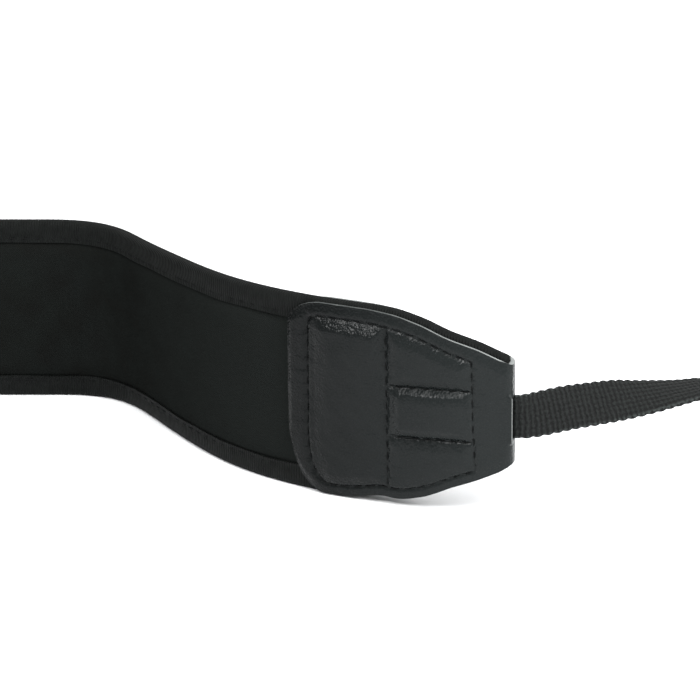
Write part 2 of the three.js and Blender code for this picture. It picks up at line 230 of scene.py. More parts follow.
BAND_WAY = (
    BandRow(0, 0, 0, 0),
    BandRow(0.366, 0, 0, 0),
    BandRow(0.508, -56, 3, 0),
    BandRow(0.61, -53, 1.5, 0),
    BandRow(0.762, -31, 0, 0),
    BandRow(0.864, -20, 0, 1.2),
    BandRow(0.95, -18, 0, 3.4),
    BandRow(1, -17, 0, 0.5),
)

WEBBING_WAY = (
    WebbingRow(0, -4, 1, 0),
    WebbingRow(0.015, 18, 1.005, 12),
    WebbingRow(0.05, 19, 1.035, 33),
    WebbingRow(0.088, 20, 1.04, 47),
    WebbingRow(0.12, 20.5, 1.035, 68),
    WebbingRow(0.165, 21, 1.04, 87),
    WebbingRow(0.28, 38, 0.55, 90),
    WebbingRow(0.38, 52, 0.08, 90),
    WebbingRow(0.44, 60, 0, 90),
    WebbingRow(0.8, 90, 0, 90),
    WebbingRow(1, 90, 0, 90),
)

PATCH_OUTLINE = (
    OutlineRow(0, 0.57),
    OutlineRow(0.1, 0.665),
    OutlineRow(0.22, 0.76),
    OutlineRow(0.36, 0.892),
    OutlineRow(0.5, 0.972),
    OutlineRow(0.62, 0.995),
    OutlineRow(0.8, 1),
    OutlineRow(1, 1),
)


@dataclass
class Frames:
    """Points along a piece with three directions at each, as arrays of vectors."""

    centre: Array
    along: Array
    up: Array
    front: Array

    def point(self, height: Array, offset: Array) -> Array:
        """Places points beside the frames.

        Args:
            height: Distance along up, rows by columns.
            offset: Distance along front, rows by columns.

        Returns:
            Points, rows by columns by three.
        """
        up = self.up[:, None, :] * height[..., None]
        return self.centre[:, None, :] + up + self.front[:, None, :] * offset[..., None]


def unit(vectors: Array) -> Array:
    """Scales vectors to length one."""
    return vectors / np.linalg.norm(vectors, axis=-1, keepdims=True)


def put_in_scene(thing: Piece) -> Piece:
    """Puts an object into the scene."""
    bpy.context.scene.collection.objects.link(thing)
    return thing


def run_along(line: Array) -> Array:
    """Gives the length run along a line of points, from 0 at its first one."""
    return np.concatenate([[0], np.cumsum(np.linalg.norm(np.diff(line, axis=0), axis=1))])


def read_along(at: Array, run: Array, rows: Array) -> Array:
    """Reads rows of numbers, which are known at the lengths run, at other lengths."""
    return np.stack([np.interp(at, run, column) for column in rows.T], 1)


def paired(along: Any, across: Any) -> Array:
    """Pairs a pattern's two coordinates, each spread to the shape of both."""
    return np.stack(np.broadcast_arrays(along, across), -1)


class Band:
    """The way that the padded band stands on the floor."""

    STEPS = 4000

    def __init__(self, sizes: StrapSizes) -> None:
        """Walks the way once.

        Args:
            sizes: The strap's sizes.
        """
        self.sizes = sizes
        self.heading = Curve(BAND_WAY, "heading")
        self.lean = Curve(BAND_WAY, "lean")
        self.rise = Curve(BAND_WAY, "rise")
        self.outline = Curve(PATCH_OUTLINE, "height")
        middle = (np.arange(self.STEPS) + 0.5) / self.STEPS
        step = sizes.half_length / self.STEPS
        heading = np.radians(self.heading(middle))
        rise = np.radians(self.rise(middle))
        walked = np.stack([np.cos(heading), np.sin(heading), np.tan(rise)], 1) * step
        self.path = np.vstack([np.zeros(3), np.cumsum(walked, axis=0)])
        self.shares = np.linspace(0, 1, self.STEPS + 1)

    def frames(self, distance: Any) -> Frames:
        """Gives the band's frames.

        Args:
            distance: Distances from the middle, negative on the left.

        Returns:
            The frames there.
        """
        distance = np.atleast_1d(np.asarray(distance, float))
        share = np.abs(distance) / self.sizes.half_length
        heading = np.radians(self.heading(share))
        rise = np.radians(self.rise(share))
        lean = np.radians(self.lean(share))
        x, y, climb = read_along(share, self.shares, self.path).T
        along = unit(np.stack([np.cos(heading), np.sin(heading), np.tan(rise)], 1))
        level = np.stack([np.sin(heading), -np.cos(heading), 0 * heading], 1)
        upright = np.cross(level, along)
        cosine, sine = np.cos(lean)[:, None], np.sin(lean)[:, None]
        up = upright * cosine + level * sine
        front = level * cosine - upright * sine
        stand = self.sizes.half_width * np.cos(lean)
        stand = stand + self.sizes.bound_half * np.abs(np.sin(lean)) + climb
        centre = np.stack([x, y, stand], 1)
        left = distance < 0
        for vectors in (centre, up, front):
            vectors[left, 0] *= -1
        along[left, 1:] *= -1
        return Frames(centre, along, up, front)

    def outline_half(self, from_fold: Any, full: float) -> Any:
        """Half a patch's height.

        Args:
            from_fold: Distance from the fold's centre.
            full: Half its full height.

        Returns:
            Half its height there.
        """
        return full * self.outline(np.maximum(from_fold, 0) / self.sizes.patch_length)

    def lifted(self, from_fold: Any) -> Any:
        """How much higher the band's upper edge stands near a fold, by distance from it."""
        return self.sizes.fold_lift * (1 - smooth(from_fold, 0, self.sizes.fold_lift_reach))

    def tucked(self, from_fold: Any) -> Any:
        """How much the band's lower edge is drawn in where a patch begins to narrow."""
        s = self.sizes
        return s.tuck * np.exp(-(((from_fold - s.tuck_at) / s.tuck_reach) ** 2))

    def shrink(self, distance: Any) -> Any:
        """How much narrower the band's half is than its full one, at a distance."""
        full = self.sizes.half_width
        return full - self.outline_half(self.sizes.fold_at - np.abs(distance), full)


class Ripple:
    """Soft unevenness: a seeded sum of plane waves over a surface's two coordinates."""

    WAVES = 14
    SHORTEST = 0.7
    LONGEST = 1.5

    def __init__(self, seed: int, wavelength: float) -> None:
        """Draws the waves.

        Args:
            seed: Seed of the draw.
            wavelength: Their usual wavelength, in millimetres.
        """
        draw = np.random.default_rng(seed)
        angle = draw.uniform(0, 2 * pi, self.WAVES)
        length = wavelength * draw.uniform(self.SHORTEST, self.LONGEST, self.WAVES)
        self.turn = 2 * pi / length
        self.way = np.stack([np.cos(angle), np.sin(angle)])
        self.phase = draw.uniform(0, 2 * pi, self.WAVES)

    def __call__(self, along: Any, across: Any) -> Any:
        """Gives the unevenness at points of the surface.

        Args:
            along: The points' first coordinate, in millimetres.
            across: Their second one.

        Returns:
            The unevenness, mostly from -1 to 1.
        """
        along, across = np.broadcast_arrays(np.asarray(along, float), across)
        run = along[..., None] * self.way[0] + across[..., None] * self.way[1]
        return np.sin(run * self.turn + self.phase).sum(-1) / np.sqrt(len(self.phase))


# Meshes


@dataclass
class Sheet:
    """Vertices, faces, pattern coordinates and finishes of one mesh, in millimetres."""

    vertices: list[Array] = field(default_factory=list)
    faces: list[Array] = field(default_factory=list)
    coordinates: list[Array] = field(default_factory=list)
    slots: list[Array] = field(default_factory=list)
    count: int = 0

    def add(self, points: Array, pattern: Array, quads: Array, slot: int = 0) -> None:
        """Adds points and the quads between them.

        Args:
            points: Vertices, any number by three.
            pattern: Pattern coordinates of each vertex, in millimetres.
            quads: Four indices into points for each face.
            slot: Number of the finish.
        """
        self.vertices.append(points.reshape(-1, 3))
        self.coordinates.append(pattern.reshape(-1, 2))
        self.faces.append(quads + self.count)
        self.slots.append(np.full(len(quads), slot))
        self.count += len(self.vertices[-1])

    def add_wall(
        self,
        front: Array,
        back: Array,
        pattern: Array,
        solid: Array | None = None,
        edge_slot: int = 0,
    ) -> None:
        """Adds a closed wall between two grids of points.

        Args:
            front: Rows by columns by three.
            back: The same for the other side.
            pattern: Pattern coordinates, rows by columns by two.
            solid: Which cells are solid; a cell that isn't is a hole.
            edge_slot: Number of the finish on the wall's cut edges.
        """
        rows, columns = front.shape[:2]
        if solid is None:
            solid = np.ones((rows - 1, columns - 1), bool)
        near = np.arange(rows * columns).reshape(rows, columns)
        far = near + rows * columns
        a, b, c, d = near[:-1, :-1], near[1:, :-1], near[1:, 1:], near[:-1, 1:]
        e, f, g, h = far[:-1, :-1], far[1:, :-1], far[1:, 1:], far[:-1, 1:]
        faces = [np.stack([a, b, c, d], -1)[solid], np.stack([e, h, g, f], -1)[solid]]
        ringed = np.pad(solid, 1)
        open_sides = (
            (solid & ~ringed[1:-1, :-2], (a, e, f, b)),
            (solid & ~ringed[1:-1, 2:], (c, g, h, d)),
            (solid & ~ringed[:-2, 1:-1], (d, h, e, a)),
            (solid & ~ringed[2:, 1:-1], (b, f, g, c)),
        )
        edges = [np.stack(corners, -1)[where] for where, corners in open_sides]
        points = np.concatenate([front.reshape(-1, 3), back.reshape(-1, 3)])
        both = np.concatenate([pattern.reshape(-1, 2)] * 2)
        skin = np.concatenate(faces)
        rim = np.concatenate(edges)
        self.add(points, both, np.concatenate([skin, rim]))
        self.slots[-1][len(skin) :] = edge_slot

    def build(self, name: str, finishes: list[Material], mirror: bool = False) -> Piece:
        """Makes the object.

        Args:
            name: Its name.
            finishes: Its materials, in the order of the slots.
            mirror: Whether it is turned over to the left side.

        Returns:
            The object, in the scene.
        """
        points = np.concatenate(self.vertices) * MM
        faces = np.concatenate(self.faces)
        if mirror:
            points = points * [-1, 1, 1]
            faces = faces[:, ::-1]
        mesh = bpy.data.meshes.new(name)
        mesh.from_pydata(points.tolist(), [], faces.tolist())
        layer = mesh.uv_layers.new(name="pattern")
        loops = np.concatenate(self.coordinates)[faces.ravel()]
        layer.data.foreach_set("uv", loops.ravel())
        for finish in finishes:
            mesh.materials.append(finish)
        mesh.polygons.foreach_set("material_index", np.concatenate(self.slots))
        mesh.polygons.foreach_set("use_smooth", np.ones(len(faces), bool))
        mesh.set_sharp_from_angle(angle=SHARP_TURN)
        mesh.update()
        return put_in_scene(bpy.data.objects.new(name, mesh))


@dataclass(frozen=True)
class Thread:
    """A sewing thread's stitches along a seam, which arch out of one hole and into the next."""

    pitch: float
    length: float
    stand: float
    radius: float = 0.13
    fullness: float = 0.6
    thin_end: float = 0.55
    raised: float = 0.4
    sunk: float = 1.2
    wander: float = 0.07
    skew: float = 0.05
    rings: int = 7

    SIDES: ClassVar[int] = 6

    def sew(self, sheet: Sheet, seam: Array, normal: Array, seed: int) -> None:
        """Adds the stitches along a seam.

        Args:
            sheet: The mesh that they go into.
            seam: Points along the seam on the surface.
            normal: The surface's direction out at each one.
            seed: Seed of their small differences.
        """
        run = run_along(seam)
        draw = np.random.default_rng(seed)
        share = np.linspace(0, 1, self.rings)
        arch = np.sin(pi * share) ** self.fullness
        lift = (self.stand + self.radius * self.raised) * arch - self.radius * self.sunk * (1 - arch)
        thick = self.radius * (self.thin_end + (1 - self.thin_end) * arch)
        angle = np.arange(self.SIDES) * 2 * pi / self.SIDES
        near = np.arange(self.rings * self.SIDES).reshape(self.rings, self.SIDES)
        turned = np.roll(near, -1, axis=1)
        around = np.stack([near[:-1], near[1:], turned[1:], turned[:-1]], -1).reshape(-1, 4)
        caps = [near[0, [0, 1, 2, 3]], near[0, [0, 3, 4, 5]],
                near[-1, [3, 2, 1, 0]], near[-1, [5, 4, 3, 0]]]
        quads = np.concatenate([around, caps])
        for k in range(int(run[-1] / self.pitch)):
            start = (k + 0.5) * self.pitch - self.length / 2 + draw.normal(0, self.wander)
            at = start + self.length * share
            line = read_along(at, run, seam)
            out = unit(read_along(at, run, normal))
            side = unit(np.cross(unit(np.gradient(line, axis=0)), out))
            slant = draw.normal(0, self.skew) * (share - 0.5) * 2
            middle = line + out * lift[:, None] + side * slant[:, None]
            ring = side[:, None] * np.cos(angle)[:, None] + out[:, None] * np.sin(angle)[:, None]
            points = middle[:, None] + ring * thick[:, None, None]
            sheet.add(points, paired(at[:, None], angle * self.radius), quads)


# Finishes


def add(
    tree: Tree,
    kind: str,
    links: dict[Any, Socket] | None = None,
    values: dict[Any, Any] | None = None,
    **settings: Any,
) -> Node:
    """Adds a shader node with its settings, values and links.

    Args:
        tree: The tree that it goes into.
        kind: The node's type, without the word that all their types start with.
        links: Sockets that feed its inputs, by name or number.
        values: Values of its inputs, by name or number.
        settings: Its own properties.

    Returns:
        The node.
    """
    made = tree.nodes.new(f"ShaderNode{kind}")
    for name, value in settings.items():
        setattr(made, name, value)
    for name, value in (values or {}).items():
        made.inputs[name].default_value = value
    for name, socket in (links or {}).items():
        tree.links.new(socket, made.inputs[name])
    return made


class Finish:
    """A material whose pattern follows the piece's own coordinates, in millimetres."""

    name: str = "finish"

    def material(self) -> Material:
        """Makes the material.

        Returns:
            The material, with its nodes.
        """
        made = bpy.data.materials.new(self.name)
        made.use_nodes = True
        tree = made.node_tree
        tree.nodes.clear()
        shader = add(tree, "BsdfPrincipled")
        add(tree, "OutputMaterial", {0: shader.outputs[0]})
        place = add(tree, "UVMap", uv_map="pattern").outputs[0]
        self.dress(tree, shader, place)
        return made

    def dress(self, tree: Tree, shader: Node, place: Socket) -> None:
        """Sets the shader and adds the pattern.

        Args:
            tree: The material's nodes.
            shader: Its principled shader.
            place: The pattern coordinates.
        """
        raise NotImplementedError

    @staticmethod
    def set(shader: Node, values: dict[str, Any]) -> None:
        """Sets uniform values on the shader's own sockets."""
        for name, value in values.items():
            shader.inputs[name].default_value = value

    @staticmethod
    def feed(tree: Tree, shader: Node, sources: dict[str, Socket]) -> None:
        """Feeds the shader's sockets by name."""
        for name, source in sources.items():
            tree.links.new(source, shader.inputs[name])

    @staticmethod
    def wave(tree: Tree, place: Socket, pitch: float) -> Socket:
        """A sine of one pattern coordinate.

        Args:
            tree: The material's nodes.
            place: One coordinate, in millimetres.
            pitch: The wave's length, in millimetres.

        Returns:
            Its value, from -1 to 1.
        """
        turned = add(tree, "Math", {0: place}, {1: 2 * pi / pitch}, operation="MULTIPLY")
        return add(tree, "Math", {0: turned.outputs[0]}, operation="SINE").outputs[0]

    @staticmethod
    def mottle(tree: Tree, place: Socket, colours: tuple[str, str], spot: float) -> Socket:
        """A soft mottling between two colours.

        Args:
            tree: The material's nodes.
            place: The pattern coordinates.
            colours: The darker and the lighter colour.
            spot: Size of a spot, in millimetres.

        Returns:
            The colour.
        """
        noise = add(tree, "TexNoise", {"Vector": place}, {"Scale": 1 / spot, "Detail": 4.0})
        ramp = add(tree, "ValToRGB", {0: noise.outputs[0]})
        for stop, position, colour in zip(ramp.color_ramp.elements, (0.35, 0.65), colours):
            stop.position = position
            stop.color = srgb(colour)
        return ramp.outputs[0]

    @staticmethod
    def fade(
        tree: Tree, run: Socket, span: tuple[float, float], first: Socket, last: str
    ) -> Socket:
        """A change from one colour to another along the piece.

        Args:
            tree: The material's nodes.
            run: The coordinate that it follows, in millimetres.
            span: Where it starts and where it ends.
            first: The colour that it starts from.
            last: The colour that it ends in.

        Returns:
            The colour.
        """
        share = add(tree, "MapRange", {"Value": run}, {"From Min": span[0], "From Max": span[1]})
        tint = add(tree, "Mix", {"Factor": share.outputs[0], "A": first}, {"B": srgb(last)},
                   data_type="RGBA")
        return tint.outputs["Result"]


@dataclass(frozen=True)
class KnittedJersey(Finish):
    """Nylon jersey bonded to foam: a fine rib of knitted loops that swallows nearly all light.

    Its colour is painted paler towards the patches: painted light, for the brighter light that falls
    on the pad there.
    """

    name: str = "nylon_jersey_knitted_on_foam"
    dark: str = "#131413"
    light: str = "#151716"
    spot: float = 7.0
    # Painted light: the colour and span below paint the pad paler towards the patches, for the
    # brighter light there
    drawn: str = "#191b1a"
    painted_light_span: tuple[float, float] = (106.0, 148.0)
    # Loops stand 18 to the centimetre along the pad and 22 across it
    wale: float = 0.55
    course: float = 0.45
    loop_height: float = 0.035
    # The fibres' fuzz is drawn as coarse as half a millimetre, because single ones don't show
    fuzz: float = 0.5
    fuzz_height: float = 0.12

    def dress(self, tree: Tree, shader: Node, place: Socket) -> None:
        """Sets a matt, softly fuzzy cloth with knitted loops as relief.

        Args:
            tree: The material's nodes.
            shader: Its principled shader.
            place: The pattern coordinates.
        """
        self.set(shader, {"Roughness": 0.92, "Specular IOR Level": 0.0, "IOR": 1.5})
        split = add(tree, "SeparateXYZ", {0: place})
        reach = add(tree, "Math", {0: split.outputs[0]}, operation="ABSOLUTE")
        knitted = self.mottle(tree, place, (self.dark, self.light), self.spot)
        # Painted light: the pad grows paler towards the patches
        colour = self.fade(tree, reach.outputs[0], self.painted_light_span, knitted, self.drawn)
        wales = self.wave(tree, split.outputs[0], self.wale)
        courses = self.wave(tree, split.outputs[1], self.course)
        loops = add(tree, "Math", {0: wales, 1: courses}, operation="MULTIPLY")
        fuzz = add(tree, "TexNoise", {"Vector": place}, {"Scale": 1 / self.fuzz, "Detail": 3.0})
        knit = add(tree, "Bump", {"Height": loops.outputs[0]},
                   {"Strength": 1.0, "Distance": self.loop_height * MM})
        bump = add(tree, "Bump", {"Height": fuzz.outputs[0], "Normal": knit.outputs[0]},
                   {"Strength": 0.5, "Distance": self.fuzz_height * MM})
        self.feed(tree, shader, {"Base Color": colour, "Normal": bump.outputs[0]})


@dataclass(frozen=True)
class RibbedTape(Finish):
    """Polyester binding tape, knitted with ribs across it: each rib catches a little light."""

    name: str = "polyester_tape_knitted"
    dark: str = "#0a0c0b"
    light: str = "#101211"
    spot: float = 2.5
    # Ribs stand 16 to the centimetre, and single yarns are a third of a millimetre thick
    rib: float = 0.62
    yarn: float = 0.35
    unevenness: float = 1.6
    height: float = 0.08

    def dress(self, tree: Tree, shader: Node, place: Socket) -> None:
        """Sets a matt tape with ribs across it and uneven yarn.

        Args:
            tree: The material's nodes.
            shader: Its principled shader.
            place: The pattern coordinates.
        """
        self.set(shader, {"Roughness": 0.7, "Specular IOR Level": 0.1, "Sheen Weight": 0.005,
                          "Sheen Roughness": 0.5, "IOR": 1.5})
        colour = self.mottle(tree, place, (self.dark, self.light), self.spot)
        split = add(tree, "SeparateXYZ", {0: place})
        ribs = self.wave(tree, split.outputs[0], self.rib)
        yarn = add(tree, "TexNoise", {"Vector": place}, {"Scale": 1 / self.yarn, "Detail": 3.0})
        both = add(tree, "Math", {0: yarn.outputs[0], 2: ribs}, {1: self.unevenness},
                   operation="MULTIPLY_ADD")
        bump = add(tree, "Bump", {"Height": both.outputs[0]},
                   {"Strength": 1.0, "Distance": self.height * MM})
        self.feed(tree, shader, {"Base Color": colour, "Normal": bump.outputs[0]})


@dataclass(frozen=True)
class PebbledLeather(Finish):
    """Coated leather, embossed with a pebble grain: a soft gloss broken into small facets.

    Its colour is painted a shade paler towards the fold: painted light, for the brighter light
    there.
    """

    name: str = "coated_leather_embossed"
    dark: str = "#080a0a"
    light: str = "#0c0e0e"
    spot: float = 9.0
    # Painted light: the colour and span below paint the leather a shade paler towards the fold, for
    # the brighter light there
    painted_light_colour: str = "#1c1f1f"
    painted_light_reach: tuple[float, float] = (46.0, 2.0)
    # A fine pebble is half a millimetre wide, and its rows wander by as much
    grain: float = 0.5
    grain_height: float = 0.1
    wander: float = 1.5
    # Pores are drawn as coarse as a quarter of a millimetre, because real ones don't show
    pore: float = 0.25
    pore_height: float = 0.02
    smoothest: float = 0.17
    roughest: float = 0.34

    def dress(self, tree: Tree, shader: Node, place: Socket) -> None:
        """Sets a half-glossy coat over rounded pebbles and fine pores.

        Args:
            tree: The material's nodes.
            shader: Its principled shader.
            place: The pattern coordinates.
        """
        self.set(shader, {"Specular IOR Level": 0.11, "IOR": 1.5})
        split = add(tree, "SeparateXYZ", {0: place})
        coat = self.mottle(tree, place, (self.dark, self.light), self.spot)
        # Painted light: the leather grows a shade paler towards the fold
        colour = self.fade(tree, split.outputs[0], self.painted_light_reach, coat, self.painted_light_colour)
        warp = add(tree, "TexNoise", {"Vector": place}, {"Scale": 1 / self.wander, "Detail": 2.0})
        bent = add(tree, "VectorMath", {0: warp.outputs[1], 2: place}, {1: (self.grain,) * 3},
                   operation="MULTIPLY_ADD")
        pebbles = add(tree, "TexVoronoi", {"Vector": bent.outputs[0]},
                      {"Scale": 1 / self.grain, "Smoothness": 0.5}, feature="SMOOTH_F1")
        pores = add(tree, "TexNoise", {"Vector": place}, {"Scale": 1 / self.pore, "Detail": 2.0})
        rough = add(tree, "MapRange", {"Value": pores.outputs[0]},
                    {"To Min": self.smoothest, "To Max": self.roughest})
        grain = add(tree, "Bump", {"Height": pebbles.outputs[0]},
                    {"Strength": 1.0, "Distance": self.grain_height * MM}, invert=True)
        bump = add(tree, "Bump", {"Height": pores.outputs[0], "Normal": grain.outputs[0]},
                   {"Strength": 0.6, "Distance": self.pore_height * MM})
        self.feed(tree, shader, {"Base Color": colour, "Roughness": rough.outputs[0],
                                 "Normal": bump.outputs[0]})


@dataclass(frozen=True)
class CutEdge(Finish):
    """The raw cut of the coated leather: a pale fibrous backing under a thin dark coat."""

    name: str = "leather_backing_cut"
    dark: str = "#3a3d3c"
    light: str = "#4b4e4d"
    spot: float = 1.2
    # Painted light: the colour and span below paint the cut edge paler towards the fold, for the
    # brighter light there
    painted_light_edge_colour: str = "#828584"
    painted_light_edge_reach: tuple[float, float] = (26.0, 0.0)
    # Fibres are drawn as coarse as a fifth of a millimetre, because real ones don't show
    fibre: float = 0.2
    fibre_height: float = 0.05

    def dress(self, tree: Tree, shader: Node, place: Socket) -> None:
        """Sets a matt, slightly fibrous cut, painted paler towards the fold as painted light.

        Args:
            tree: The material's nodes.
            shader: Its principled shader.
            place: The pattern coordinates.
        """
        self.set(shader, {"Roughness": 0.9, "Specular IOR Level": 0.2, "IOR": 1.5})
        split = add(tree, "SeparateXYZ", {0: place})
        fray = self.mottle(tree, place, (self.dark, self.light), self.spot)
        # Painted light: the cut edge grows paler towards the fold
        colour = self.fade(tree, split.outputs[0], self.painted_light_edge_reach, fray, self.painted_light_edge_colour)
        fibre = add(tree, "TexNoise", {"Vector": place}, {"Scale": 1 / self.fibre, "Detail": 2.0})
        bump = add(tree, "Bump", {"Height": fibre.outputs[0]},
                   {"Strength": 0.6, "Distance": self.fibre_height * MM})
        self.feed(tree, shader, {"Base Color": colour, "Normal": bump.outputs[0]})


@dataclass(frozen=True)
class WovenWebbing(Finish):
    """Polyester webbing, woven tight: ribs of weft under warp yarns, grey where they catch light.

    Past the twist the warp yarns are drawn stronger than the ribs, in relief and in the painted
    highlight, for how the light catches the weave where it lies flat.
    """

    name: str = "polyester_webbing_woven"
    dark: str = "#060707"
    light: str = "#191c1b"
    # Painted highlight: the selvedges are painted paler where the yarns are painted lit
    selvedge_highlight: str = "#303433"
    # Nine ribs to the centimetre and eight pairs of warp yarns across, as 10 mm webbing has
    weft: float = 1.1
    warp: float = 1.15
    sway: float = 0.7
    sway_length: float = 2.2
    # Where the weave's look changes past the twist, with the strength of warp and weft before and
    # after it; this moves the painted highlight as well as the relief
    twisted: tuple[float, float] = (44.0, 60.0)
    warp_shows: tuple[float, float] = (0.3, 0.9)
    weft_shows: tuple[float, float] = (0.85, 0.35)
    yarn: float = 0.5
    unevenness: float = 4.6
    lit: tuple[float, float] = (1.7, 3.3)
    selvedge_span: tuple[float, float] = (4.1, 4.5)
    height: float = 0.09

    def dress(self, tree: Tree, shader: Node, place: Socket) -> None:
        """Sets a matt weave whose yarns stand over and under each other.

        Args:
            tree: The material's nodes.
            shader: Its principled shader.
            place: The pattern coordinates.
        """
        self.set(shader, {"Roughness": 0.75, "Specular IOR Level": 0.17, "Sheen Weight": 0.03,
                          "Sheen Roughness": 0.4, "IOR": 1.5})
        split = add(tree, "SeparateXYZ", {0: place})
        along, across = split.outputs[0], split.outputs[1]
        drift = add(tree, "TexNoise", {"Vector": place},
                    {"Scale": 1 / self.sway_length, "Detail": 1.0})
        swayed = add(tree, "Math", {0: drift.outputs[0], 2: along}, {1: self.sway},
                     operation="MULTIPLY_ADD")
        weft = self.wave(tree, swayed.outputs[0], self.weft)
        warp = self.wave(tree, across, self.warp)
        drawn = add(tree, "MapRange", {"Value": along},
                    {"From Min": self.twisted[0], "From Max": self.twisted[1]})
        shows = [add(tree, "MapRange", {"Value": drawn.outputs[0]},
                     {"To Min": before, "To Max": after}).outputs[0]
                 for before, after in (self.warp_shows, self.weft_shows)]
        ribbed = add(tree, "Math", {0: weft, 1: shows[1]}, operation="MULTIPLY")
        over = add(tree, "Math", {0: warp, 1: shows[0], 2: ribbed.outputs[0]},
                   operation="MULTIPLY_ADD")
        yarn = add(tree, "TexNoise", {"Vector": place}, {"Scale": 1 / self.yarn, "Detail": 3.0})
        both = add(tree, "Math", {0: yarn.outputs[0], 2: over.outputs[0]}, {1: self.unevenness},
                   operation="MULTIPLY_ADD")
        lit = add(tree, "MapRange", {"Value": both.outputs[0]},
                  {"From Min": self.lit[0], "From Max": self.lit[1]})
        tint = add(tree, "ValToRGB", {0: lit.outputs[0]})
        for stop, colour in zip(tint.color_ramp.elements, (self.dark, self.light)):
            stop.color = srgb(colour)
        side = add(tree, "Math", {0: across}, operation="ABSOLUTE")
        edge = add(tree, "MapRange", {"Value": side.outputs[0]},
                   {"From Min": self.selvedge_span[0], "From Max": self.selvedge_span[1]})
        # Painted highlight: paler still on the selvedges, where the yarns are painted lit
        loops = add(tree, "Math", {0: edge.outputs[0], 1: lit.outputs[0]}, operation="MULTIPLY")
        paler = add(tree, "Mix", {"Factor": loops.outputs[0], "A": tint.outputs[0]},
                    {"B": srgb(self.selvedge_highlight)}, data_type="RGBA")
        bump = add(tree, "Bump", {"Height": both.outputs[0]},
                   {"Strength": 1.0, "Distance": self.height * MM})
        self.feed(tree, shader, {"Base Color": paler.outputs["Result"], "Normal": bump.outputs[0]})


@dataclass(frozen=True)
class TwistedThread(Finish):
    """Polyester thread, twisted from two plies: small, dark and faintly glossy."""

    name: str = "polyester_thread_twisted"
    colour: str = "#101111"
    # The plies cross the thread's top a little less than half a millimetre apart
    twist: float = 0.45
    height: float = 0.04

    def dress(self, tree: Tree, shader: Node, place: Socket) -> None:
        """Sets a faint gloss broken by the plies' twist.

        Args:
            tree: The material's nodes.
            shader: Its principled shader.
            place: The pattern coordinates.
        """
        self.set(shader, {"Base Color": srgb(self.colour), "Roughness": 0.7,
                          "Specular IOR Level": 0.08, "IOR": 1.5})
        split = add(tree, "SeparateXYZ", {0: place})
        slant = add(tree, "Math", {0: split.outputs[0], 1: split.outputs[1]}, operation="ADD")
        plies = self.wave(tree, slant.outputs[0], self.twist)
        bump = add(tree, "Bump", {"Height": plies}, {"Strength": 0.8, "Distance": self.height * MM})
        self.feed(tree, shader, {"Normal": bump.outputs[0]})


@dataclass(frozen=True)
class MouldedAcetal(Finish):
    """Acetal, moulded in a finely sparked tool: black with a soft satin shine."""

    name: str = "acetal_moulded"
    dark: str = "#141516"
    light: str = "#191a1b"
    spot: float = 4.0
    # The sparked grain is drawn three times as coarse as its real 0.05 mm, so that it shows
    spark: float = 0.15
    spark_height: float = 0.02
    smoothest: float = 0.3
    roughest: float = 0.45

    def dress(self, tree: Tree, shader: Node, place: Socket) -> None:
        """Sets a satin black plastic with a fine spark grain.

        Args:
            tree: The material's nodes.
            shader: Its principled shader.
            place: The pattern coordinates.
        """
        self.set(shader, {"Specular IOR Level": 0.5, "IOR": 1.48})
        colour = self.mottle(tree, place, (self.dark, self.light), self.spot)
        spark = add(tree, "TexNoise", {"Vector": place}, {"Scale": 1 / self.spark, "Detail": 2.0})
        rough = add(tree, "MapRange", {"Value": spark.outputs[0]},
                    {"To Min": self.smoothest, "To Max": self.roughest})
        bump = add(tree, "Bump", {"Height": spark.outputs[0]},
                   {"Strength": 0.5, "Distance": self.spark_height * MM})
        self.feed(tree, shader, {"Base Color": colour, "Roughness": rough.outputs[0],
                                 "Normal": bump.outputs[0]})


@dataclass(frozen=True)
class PaperSweep(Finish):
    """Matt white background paper, which nearly burns out under the lights."""

    name: str = "matt_white_paper"
    colour: str = "#f6f7f8"

    def dress(self, tree: Tree, shader: Node, place: Socket) -> None:
        """Sets an even, matt white.

        Args:
            tree: The material's nodes; not used.
            shader: Its principled shader.
            place: The pattern coordinates; not used.
        """
        self.set(shader, {"Base Color": srgb(self.colour), "Roughness": 1.0,
                          "Specular IOR Level": 0.0})


class Slot(Enum):
    """The record's material slots."""

    NEOPRENE = "neoprene"
    TAPE = "binding_tape"
    LEATHER = "leather"
    WEBBING = "webbing"
    PLASTIC = "slider_plastic"


@dataclass
class Rack:
    """The materials that the pieces share."""

    jersey: Material
    tape: Material
    leather: Material
    cut: Material
    webbing: Material
    thread: Material
    acetal: Material
    paper: Material

    @classmethod
    def filled(cls) -> "Rack":
        """Makes every material once."""
        finishes = (KnittedJersey(), RibbedTape(), PebbledLeather(), CutEdge(), WovenWebbing(),
                    TwistedThread(), MouldedAcetal(), PaperSweep())
        return cls(*(finish.material() for finish in finishes))


def settle(piece: Piece, nodes: tuple[str, ...] = ()) -> Piece:
    """Lets a piece ride on the strap's body.

    Args:
        piece: The piece, in place.
        nodes: The frame's nodes that it stands for.

    Returns:
        The piece.
    """
    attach(piece, "root")
    if nodes:
        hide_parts(*nodes)
    log.info("%s: %d faces", piece.name, len(piece.data.polygons))
    return piece


# The pad and its bindings


